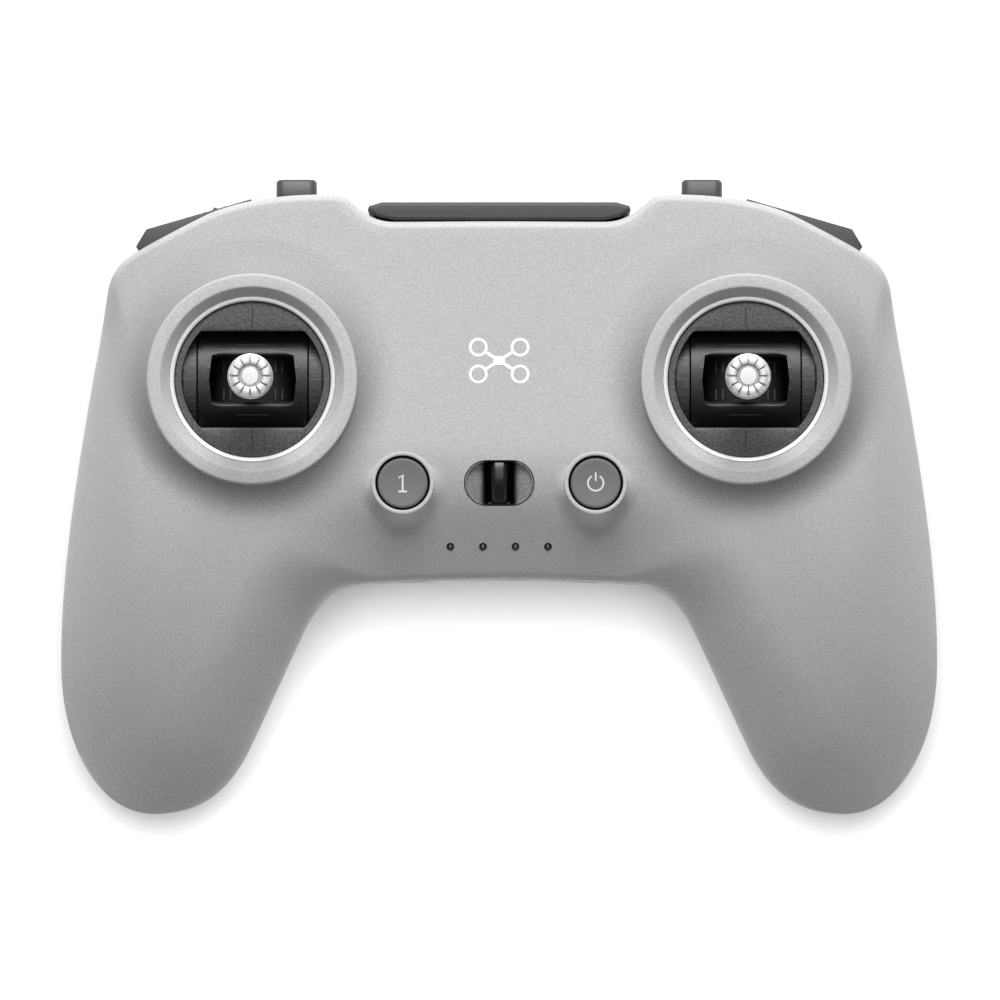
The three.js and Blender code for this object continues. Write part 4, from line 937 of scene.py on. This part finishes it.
for name, side in SIDES:
    centre, body = [side * GIMBAL_X, GIMBAL_Y, PIVOT], f"{name}_stick"
    marks = joined(*[notch(x, y0, y1) for y0, y1 in NOTCH_YS for x in NOTCH_XS])
    place(f"{name}_rocker", moved(rocker(), centre), body, BLACK, crease=40)
    place(f"{name}_rocker_ticks", moved(marks, centre), body, TICKS)
    place(f"{name}_neck", moved(turned(NECK_PROFILE, 64), centre), body, BLACK)

# ---------------------------------------------------------------------------------------------
# Knobs. Stick ends machined from aluminium: a flared grip under a crown of twelve petals round a
# bright flat button. Each screws onto its stick's neck.
# ---------------------------------------------------------------------------------------------
BRIGHT = moulded("bright_aluminium", 215, 0.42, depth=0.000002, metal=0.75)
PETALS, KNOB_HEIGHT, CROWN_DEPTH = 12, 14, 1.5
GRIP_PROFILE = [(0, 0), (1.9, 0), (2.25, 0.2), (2.45, 1.4), (2.9, 4), (3.5, 6.6), (4.05, 9.2), (4.2, 9.9)]
GRIP_PROFILE += [(4.2, 11.4), (4.2, 12.0), (4.1, 12.2), (4.0, 12.25)]


def knob_surface(top):
    """Turned rings, of which those of the crown sink between the petals and draw in at their ends. The
    way across a petal goes from 0 in its middle to 1 between two."""
    columns = 288
    angle = np.linspace(0, 2 * np.pi, columns, endpoint=False)
    across = np.abs(((angle * PETALS / (2 * np.pi)) % 1) - 0.5) * 2
    gap, scallop = smooth(0.80, 0.95, across), across**3
    base, floor_z = top - KNOB_HEIGHT, top - CROWN_DEPTH
    level = np.ones(columns)
    rows = [(r * level, (base + z) * level) for r, z in GRIP_PROFILE]
    petals = [(3.98, floor_z + 0.1, 0), (3.97, top - 0.9, 0.6), (3.9, top - 0.55, 0.9)]
    petals += [(3.7, top - 0.32, 1), (3.2, top - 0.2, 1), (2.5, top - 0.14, 1)]
    petals += [(2.12, top - 0.3, 1), (2.02, top - 0.6, 0.8), (1.98, floor_z, 0.1)]
    for r, z, cut in petals:
        height = z - gap * cut * np.minimum(0.8, z - floor_z)
        rows.append((r - 0.34 * scallop * (r > 3.6), height))
    button = [(1.74, floor_z), (1.68, top - 0.4), (1.55, top - 0.26), (0.8, top - 0.22), (0, top - 0.22)]
    rows += [(r * level, z * level) for r, z in button]
    points = [np.stack([r * np.cos(angle), r * np.sin(angle), z], -1) for r, z in rows]
    return np.concatenate(points), grid(len(rows), columns, around=True)


for name, side in SIDES:
    knob = knob_surface(span(f"{name}_stick_knob")[1][2])
    place(
        f"{name}_knob",
        moved(knob, [side * GIMBAL_X, GIMBAL_Y, 0]),
        f"{name}_stick",
        BRIGHT,
        [f"{name}_stick_knob"],
        crease=32,
    )

# ---------------------------------------------------------------------------------------------
# Face buttons. Dished round caps in mid grey plastic that click down in their lips, with a numeral
# and a power symbol printed on them in pale ink.
# ---------------------------------------------------------------------------------------------
BUTTON = worn("button_grey", 100, 0.5, grain=0.0003, depth=0.000008)
PALE_INK = moulded("pale_ink", 205, 0.5, grain=0.0003, depth=0.000004)
CAP_EDGE, DISH_RADIUS, DISH_DEPTH, PRINT_LIFT = 4.68, 4.2, 0.25, 0.03


def cap_height(r):
    """The button's dished top: a paraboloid inside the dish's radius."""
    return BUTTON_TOP - 0.62 + DISH_DEPTH * (np.minimum(r, DISH_RADIUS) / DISH_RADIUS) ** 2


def on_cap(x, y):
    """The height of a print on the cap."""
    return cap_height(np.hypot(x, y)) + PRINT_LIFT


def ribbon(path, width, height, closed=False):
    """A flat printed line along a path of (x, y) pairs: two edges half a width to either side of it.
    height gives z from x and y."""
    path = np.array(path, float)
    ahead = np.roll(path, -1, 0) - np.roll(path, 1, 0)
    if not closed:
        ahead[0], ahead[-1] = path[1] - path[0], path[-1] - path[-2]
    ahead /= np.linalg.norm(ahead, axis=1, keepdims=True)
    across = np.stack([-ahead[:, 1], ahead[:, 0]], -1) * width / 2
    edges = np.stack([path + across, path - across], 1).reshape(-1, 2)
    points = np.c_[edges, height(edges[:, 0], edges[:, 1])]
    count = len(path)
    i = np.arange(count if closed else count - 1)
    k = (i + 1) % count
    return points, np.stack([2 * i, 2 * i + 1, 2 * k + 1, 2 * k], -1)


def arc(radius, start, end, centre=(0, 0), steps=40):
    """Points along an arc between two angles in degrees."""
    angle = np.radians(np.linspace(start, end, steps))
    return np.stack([centre[0] + radius * np.cos(angle), centre[1] + radius * np.sin(angle)], -1)


cap_profile = [(0, 35), (CAP_EDGE, 35), (CAP_EDGE, BUTTON_TOP - 0.75), (4.62, BUTTON_TOP - 0.5)]
cap_profile += [(4.45, BUTTON_TOP - 0.37)]
cap_profile += [(r, cap_height(r)) for r in (DISH_RADIUS, 3.6, 3, 2.2, 1.2, 0.5, 0)]
numeral = joined(
    ribbon([(-0.75, 0.95), (0, 1.5), (0, -1.6)], 0.34, on_cap),
    ribbon([(-0.8, -1.6), (0.8, -1.6)], 0.34, on_cap),
)
power = joined(ribbon(arc(1.45, 120, 420), 0.32, on_cap), ribbon([(0, 0.35), (0, 1.95)], 0.32, on_cap))
for name, side, symbol in (("function", -1, numeral), ("power", 1, power)):
    centre, body = [side * BUTTON_X, CONTROL_Y, 0], f"{name}_button"
    cap = moved(turned(cap_profile, 96), centre)
    place(f"{name}_cap", cap, body, BUTTON, [body], crease=50)
    place(f"{name}_symbol", moved(symbol, centre), body, PALE_INK)

# ---------------------------------------------------------------------------------------------
# Face mark. A plain outline of a four-rotor aircraft, pad-printed in white ink on the front
# housing. Its strokes lie one above another, so that no two share a height.
# ---------------------------------------------------------------------------------------------
INK = moulded("white_ink", 240, 0.5, grain=0.0003, depth=0.000004)
MARK = np.array([0, 25.2])
ROTOR, ROTOR_RADIUS, ROTOR_LINE = np.array([3.9, 2.5]), 1.5, 0.5
ARM_END, ARM_WIDTH, HULL_HALF, HULL_WIDTH = (2.62, 1.68), 0.6, 1.1, 1.7


def above_face(lift):
    """A print's height over the face, as a function of x and y."""
    return lambda x, y: face_z(np.abs(x), y) + lift


strokes = []
for way in ((-1, -1), (-1, 1), (1, -1), (1, 1)):
    rim = arc(ROTOR_RADIUS, 0, 360, MARK + ROTOR * way, 48)[:-1]
    strokes.append(ribbon(rim, ROTOR_LINE, above_face(0.03), closed=True))
for way, lift in ((-1, 0.04), (1, 0.05)):
    arm = np.array([(-ARM_END[0] * way, -ARM_END[1]), (ARM_END[0] * way, ARM_END[1])]) + MARK
    strokes.append(ribbon(arm, ARM_WIDTH, above_face(lift)))
hull = np.array([(-HULL_HALF, 0), (HULL_HALF, 0)]) + MARK
strokes.append(ribbon(hull, HULL_WIDTH, above_face(0.06)))
place("face_mark", joined(*strokes), "housing", INK)

# ---------------------------------------------------------------------------------------------
# Lanyard recess and bar. A grey dish let into the face, with ramps at its two ends and a deep pocket
# in the middle painted black as shade, under an arched bar of black plastic that a cord can be tied to.
# ---------------------------------------------------------------------------------------------
GLOSSY = moulded("gloss_black", 26, 0.34, grain=0.0005, depth=0.000004)
# The pocket's black and the fade into it are painted shade, darker towards the middle of the bowl.
BOWL_GREY, POCKET_SHADE_BLACK = 148, 14
POCKET_SHADE_FADE = (0.0024, 0.0040)  # metres from the middle
LIP_DEPTHS = [(1, 6.2), (1, 0.6), (0.985, 0.2), (0.955, 0.1), (0.94, 0.35)]
RAMP_SHARES = (0.93, 0.86, 0.78, 0.7, 0.62, 0.55, 0.48, 0.42, 0.35, 0.2, 0.001)
RAMP_END, RAMP_SLOPE, POCKET_DEPTH, POCKET_WALL = 6.1, 0.42, 4, (3.1, 2.1)
BAR_SECTION, BAR_HALF, BAR_RISE, BAR_STEPS = (2.8, 1.7, 0.8, 8), 4.05, 1.15, 24


def dish_surface():
    """Rings of a stadium outline that shrink to the middle. Inside the lip the depth depends on the
    distance from the middle across: a straight ramp, then an eased wall down into the pocket."""
    outline = rounded(2 * (LANYARD_HALF - 0.12), 2 * (LANYARD_RADIUS - 0.12), 4.1, 20)
    rows = []
    for share, depth in LIP_DEPTHS + [(share, None) for share in RAMP_SHARES]:
        x, y = (outline * share).T + np.array([[0], [CONTROL_Y]])
        if depth is None:
            reach = np.abs(x)
            ramp = RAMP_SLOPE * np.maximum(0, RAMP_END - reach)
            depth = 0.5 + ramp + POCKET_DEPTH * smooth(*POCKET_WALL, reach)
        rows.append(np.stack([x, y, face_z(np.abs(x), y) - 0.1 - depth], -1))
    return np.concatenate(rows), grid(len(rows), len(outline), around=True)


def bowl_with_painted_shade():
    """Speckled grey that fades to black within a distance from the middle across: painted shade over the
    pocket.
    """
    material = moulded("bowl_grey", BOWL_GREY, 0.3, grain=0.00035, depth=0.00003, mottled=0.25)
    nodes, links, shader, grey = colour_chain(material)
    where = nodes.new("ShaderNodeTexCoord")
    split = nodes.new("ShaderNodeSeparateXYZ")
    links.new(where.outputs["Object"], split.inputs[0])
    across = nodes.new("ShaderNodeMath")
    across.operation = "ABSOLUTE"
    links.new(split.outputs["X"], across.inputs[0])
    fade = nodes.new("ShaderNodeMapRange")
    fade.interpolation_type = "SMOOTHSTEP"
    fade.inputs["From Min"].default_value = POCKET_SHADE_FADE[0]
    fade.inputs["From Max"].default_value = POCKET_SHADE_FADE[1]
    links.new(across.outputs[0], fade.inputs["Value"])
    shade = nodes.new("ShaderNodeMix")
    shade.data_type = "RGBA"
    shade.inputs["A"].default_value = linear(POCKET_SHADE_BLACK)
    links.new(fade.outputs["Result"], shade.inputs["Factor"])
    links.new(grey, shade.inputs["B"])
    links.new(shade.outputs["Result"], shader.inputs["Base Color"])
    return material


def bar_surface():
    """A rounded section carried along Y on a parabola that rises in the middle, closed at both ends."""
    section = rounded(*BAR_SECTION)
    count = len(section)
    rows = []
    for t in np.linspace(-1, 1, BAR_STEPS):
        y = CONTROL_Y - t * BAR_HALF
        z = face_z(0, y) - 1.35 + BAR_RISE * (1 - t**2)
        rows.append(np.stack([section[:, 0], np.full(count, y), z + section[:, 1]], -1))
    near = tuple(range(count))
    far = tuple((BAR_STEPS - 1) * count + i for i in near)
    faces = [tuple(f) for f in grid(BAR_STEPS, count, around=True)]
    return np.concatenate(rows), faces + [near[::-1], far]


bowl, bar = dish_surface(), bar_surface()
place("lanyard_bowl", bowl, "housing", bowl_with_painted_shade(), ["lanyard_dish"], crease=50)
place("lanyard_bridge", bar, "housing", GLOSSY, ["lanyard_bar"], crease=50)

# ---------------------------------------------------------------------------------------------
# Lamps. Four smoked pips of one light guide that stand in the face below the recess, domed at the
# top and level with the slope.
# ---------------------------------------------------------------------------------------------
LAMP = worn("smoked_lamp", 36, 0.08, grain=0.001, depth=0.000002, coat=0.6)
PIP_RADIUS, PIP_FOOT = 0.62, 27

pips = []
for place_x in (-1.5, -0.5, 0.5, 1.5):
    x = place_x * LAMP_PITCH
    top = face_z(np.abs(x), LAMP_Y) + 0.05
    pip = [(0, PIP_FOOT), (PIP_RADIUS, PIP_FOOT), (PIP_RADIUS, top - 0.25), (0.5, top - 0.08)]
    pip += [(0.28, top), (0, top + 0.02)]
    pips.append(moved(turned(pip, 32), [x, LAMP_Y, 0]))
place("lamp_pips", joined(*pips), "housing", LAMP, crease=60)

# ---------------------------------------------------------------------------------------------
# Antenna cover, shoulder panels, toggles, keys and dial. Charcoal and mid grey mouldings that plug
# into the case or move in it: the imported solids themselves, with their edges rounded.
# ---------------------------------------------------------------------------------------------
CHARCOAL = worn("charcoal", 62, 0.5, depth=0.000012)


def softened(node, body, material, bevel):
    """A copy of a CAD node's mesh with its flat faces merged and its edges rounded."""
    work = bmesh.new()
    work.from_mesh(frame["nodes"][node].data)
    bmesh.ops.remove_doubles(work, verts=work.verts, dist=MERGE)
    bmesh.ops.dissolve_limit(work, angle_limit=math.radians(1), verts=work.verts, edges=work.edges)
    work.verts.index_update()
    points = np.array([v.co for v in work.verts]) * 1000
    faces = [tuple(v.index for v in f.verts) for f in work.faces]
    work.free()
    place(f"{node}_skin", (points, faces), body, material, [node], bevel=bevel)


softened("antenna_cover", "housing", CHARCOAL, 1.2)
for name, side in SIDES:
    softened(f"{name}_shoulder_panel", "housing", CHARCOAL, 0.25)
for name in ("mode", "aux"):
    softened(f"{name}_toggle_lever", f"{name}_toggle", CHARCOAL, 0.6)
for name in ("pause_key", "start_stop_key", "shutter_key"):
    softened(name, name, BUTTON, 0.2)
softened("dial_wheel", "dial", CHARCOAL, 0.12)

# ---------------------------------------------------------------------------------------------
# Screws, boards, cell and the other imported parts. Each keeps its own mesh and takes the finish of
# its slot: zinc-plated steel, green circuit board, printed cell sleeve, and the plastics above.
# ---------------------------------------------------------------------------------------------
STEEL = worn("steel", 150, 0.35, grain=0.0005, depth=0.000006, metal=1)
BOARD = worn("circuit_board", (28, 82, 58), 0.45, grain=0.001, mottled=0.3)
SLEEVE = worn("cell_sleeve", (44, 96, 142), 0.35, grain=0.002, depth=0.000006)
FINISHES = {
    "shell_plastic": SHELL,
    "dark_plastic": CHARCOAL,
    "plate_plastic": PLATE,
    "black_plastic": BLACK,
    "button_plastic": BUTTON,
    "bright_aluminium": BRIGHT,
    "steel": STEEL,
    "circuit_board": BOARD,
    "lamp_plastic": LAMP,
    "cell_sleeve": SLEEVE,
}

for entry in frame["record"]["subparts"]:
    materials = frame["nodes"][entry["node"]].data.materials
    materials.clear()
    materials.append(FINISHES[entry["material_slot"]])

for obj in cutters:
    bpy.data.objects.remove(obj)

# ---------------------------------------------------------------------------------------------
# Table, lights and camera. A white table under an overhead softbox, a large softbox behind the
# antenna end that models the face, and a second overhead one that lights the table alone.
# ---------------------------------------------------------------------------------------------
TABLE_HALF, TABLE_TOP = 4000, -0.05
AMBIENT = 0.1

corners = [(TABLE_HALF * x, TABLE_HALF * y, TABLE_TOP) for x, y in ((-1, -1), (1, -1), (1, 1), (-1, 1))]
floor = bpy.data.objects.new("floor", new_mesh("floor", corners, [(0, 1, 2, 3)]))
bpy.context.scene.collection.objects.link(floor)
floor.data.materials.append(moulded("white_floor", 246, 0.9, grain=0.01, depth=0.000001, mottled=0))

scene = bpy.context.scene
world = bpy.data.worlds.new("studio")
scene.world = world
world.use_nodes = True
nodes, links = world.node_tree.nodes, world.node_tree.links
ambient = nodes["Background"]
ambient.inputs["Color"].default_value = (1, 1, 1, 1)
ambient.inputs["Strength"].default_value = AMBIENT
backdrop = nodes.new("ShaderNodeBackground")
ray = nodes.new("ShaderNodeLightPath")
either = nodes.new("ShaderNodeMixShader")
links.new(ray.outputs["Is Camera Ray"], either.inputs["Fac"])
links.new(ambient.outputs[0], either.inputs[1])
links.new(backdrop.outputs[0], either.inputs[2])
links.new(either.outputs[0], nodes["World Output"].inputs["Surface"])


def softbox(name, x, y, z, width, height, watts):
    """A rectangular area light that faces the middle of the object."""
    light = bpy.data.lights.new(name, "AREA")
    light.shape = "RECTANGLE"
    light.size, light.size_y, light.energy = width, height, watts
    obj = bpy.data.objects.new(name, light)
    scene.collection.objects.link(obj)
    obj.location = (x, y, z)
    obj.rotation_euler = (-Vector((x, y, z))).to_track_quat("-Z", "Y").to_euler()
    obj.visible_camera = False
    return obj


def only_on(light, what, state):
    """Links a light to one object, or keeps it off that object."""
    group = bpy.data.collections.new(light.name)
    group.objects.link(what)
    group.collection_objects[0].light_linking.link_state = state
    light.light_linking.receiver_collection = group


only_on(softbox("behind", 0, 1.28, 1.08, 1.2, 1.0, 45), floor, "EXCLUDE")
softbox("overhead", 0, 0.1, 1.9, 1.2, 1.2, 8)
only_on(softbox("floor_light", 0, 0.4, 1.9, 1.6, 1.6, 60), floor, "INCLUDE")

DISTANCE, TILT, VIEW_WIDTH = 2.0, math.radians(1.25), 0.1864  # metres, radians, metres across
AIM = np.array([0.00015, -0.0008, FACE / 1000])
camera = bpy.data.cameras.new("camera")
camera.sensor_width = 36
camera.lens = camera.sensor_width * DISTANCE / VIEW_WIDTH
view = bpy.data.objects.new("camera", camera)
scene.collection.objects.link(view)
view.location = AIM + DISTANCE * np.array([0, -math.sin(TILT), math.cos(TILT)])
view.rotation_euler = (TILT, 0, 0)
scene.camera = view
scene.view_settings.view_transform = "Standard"
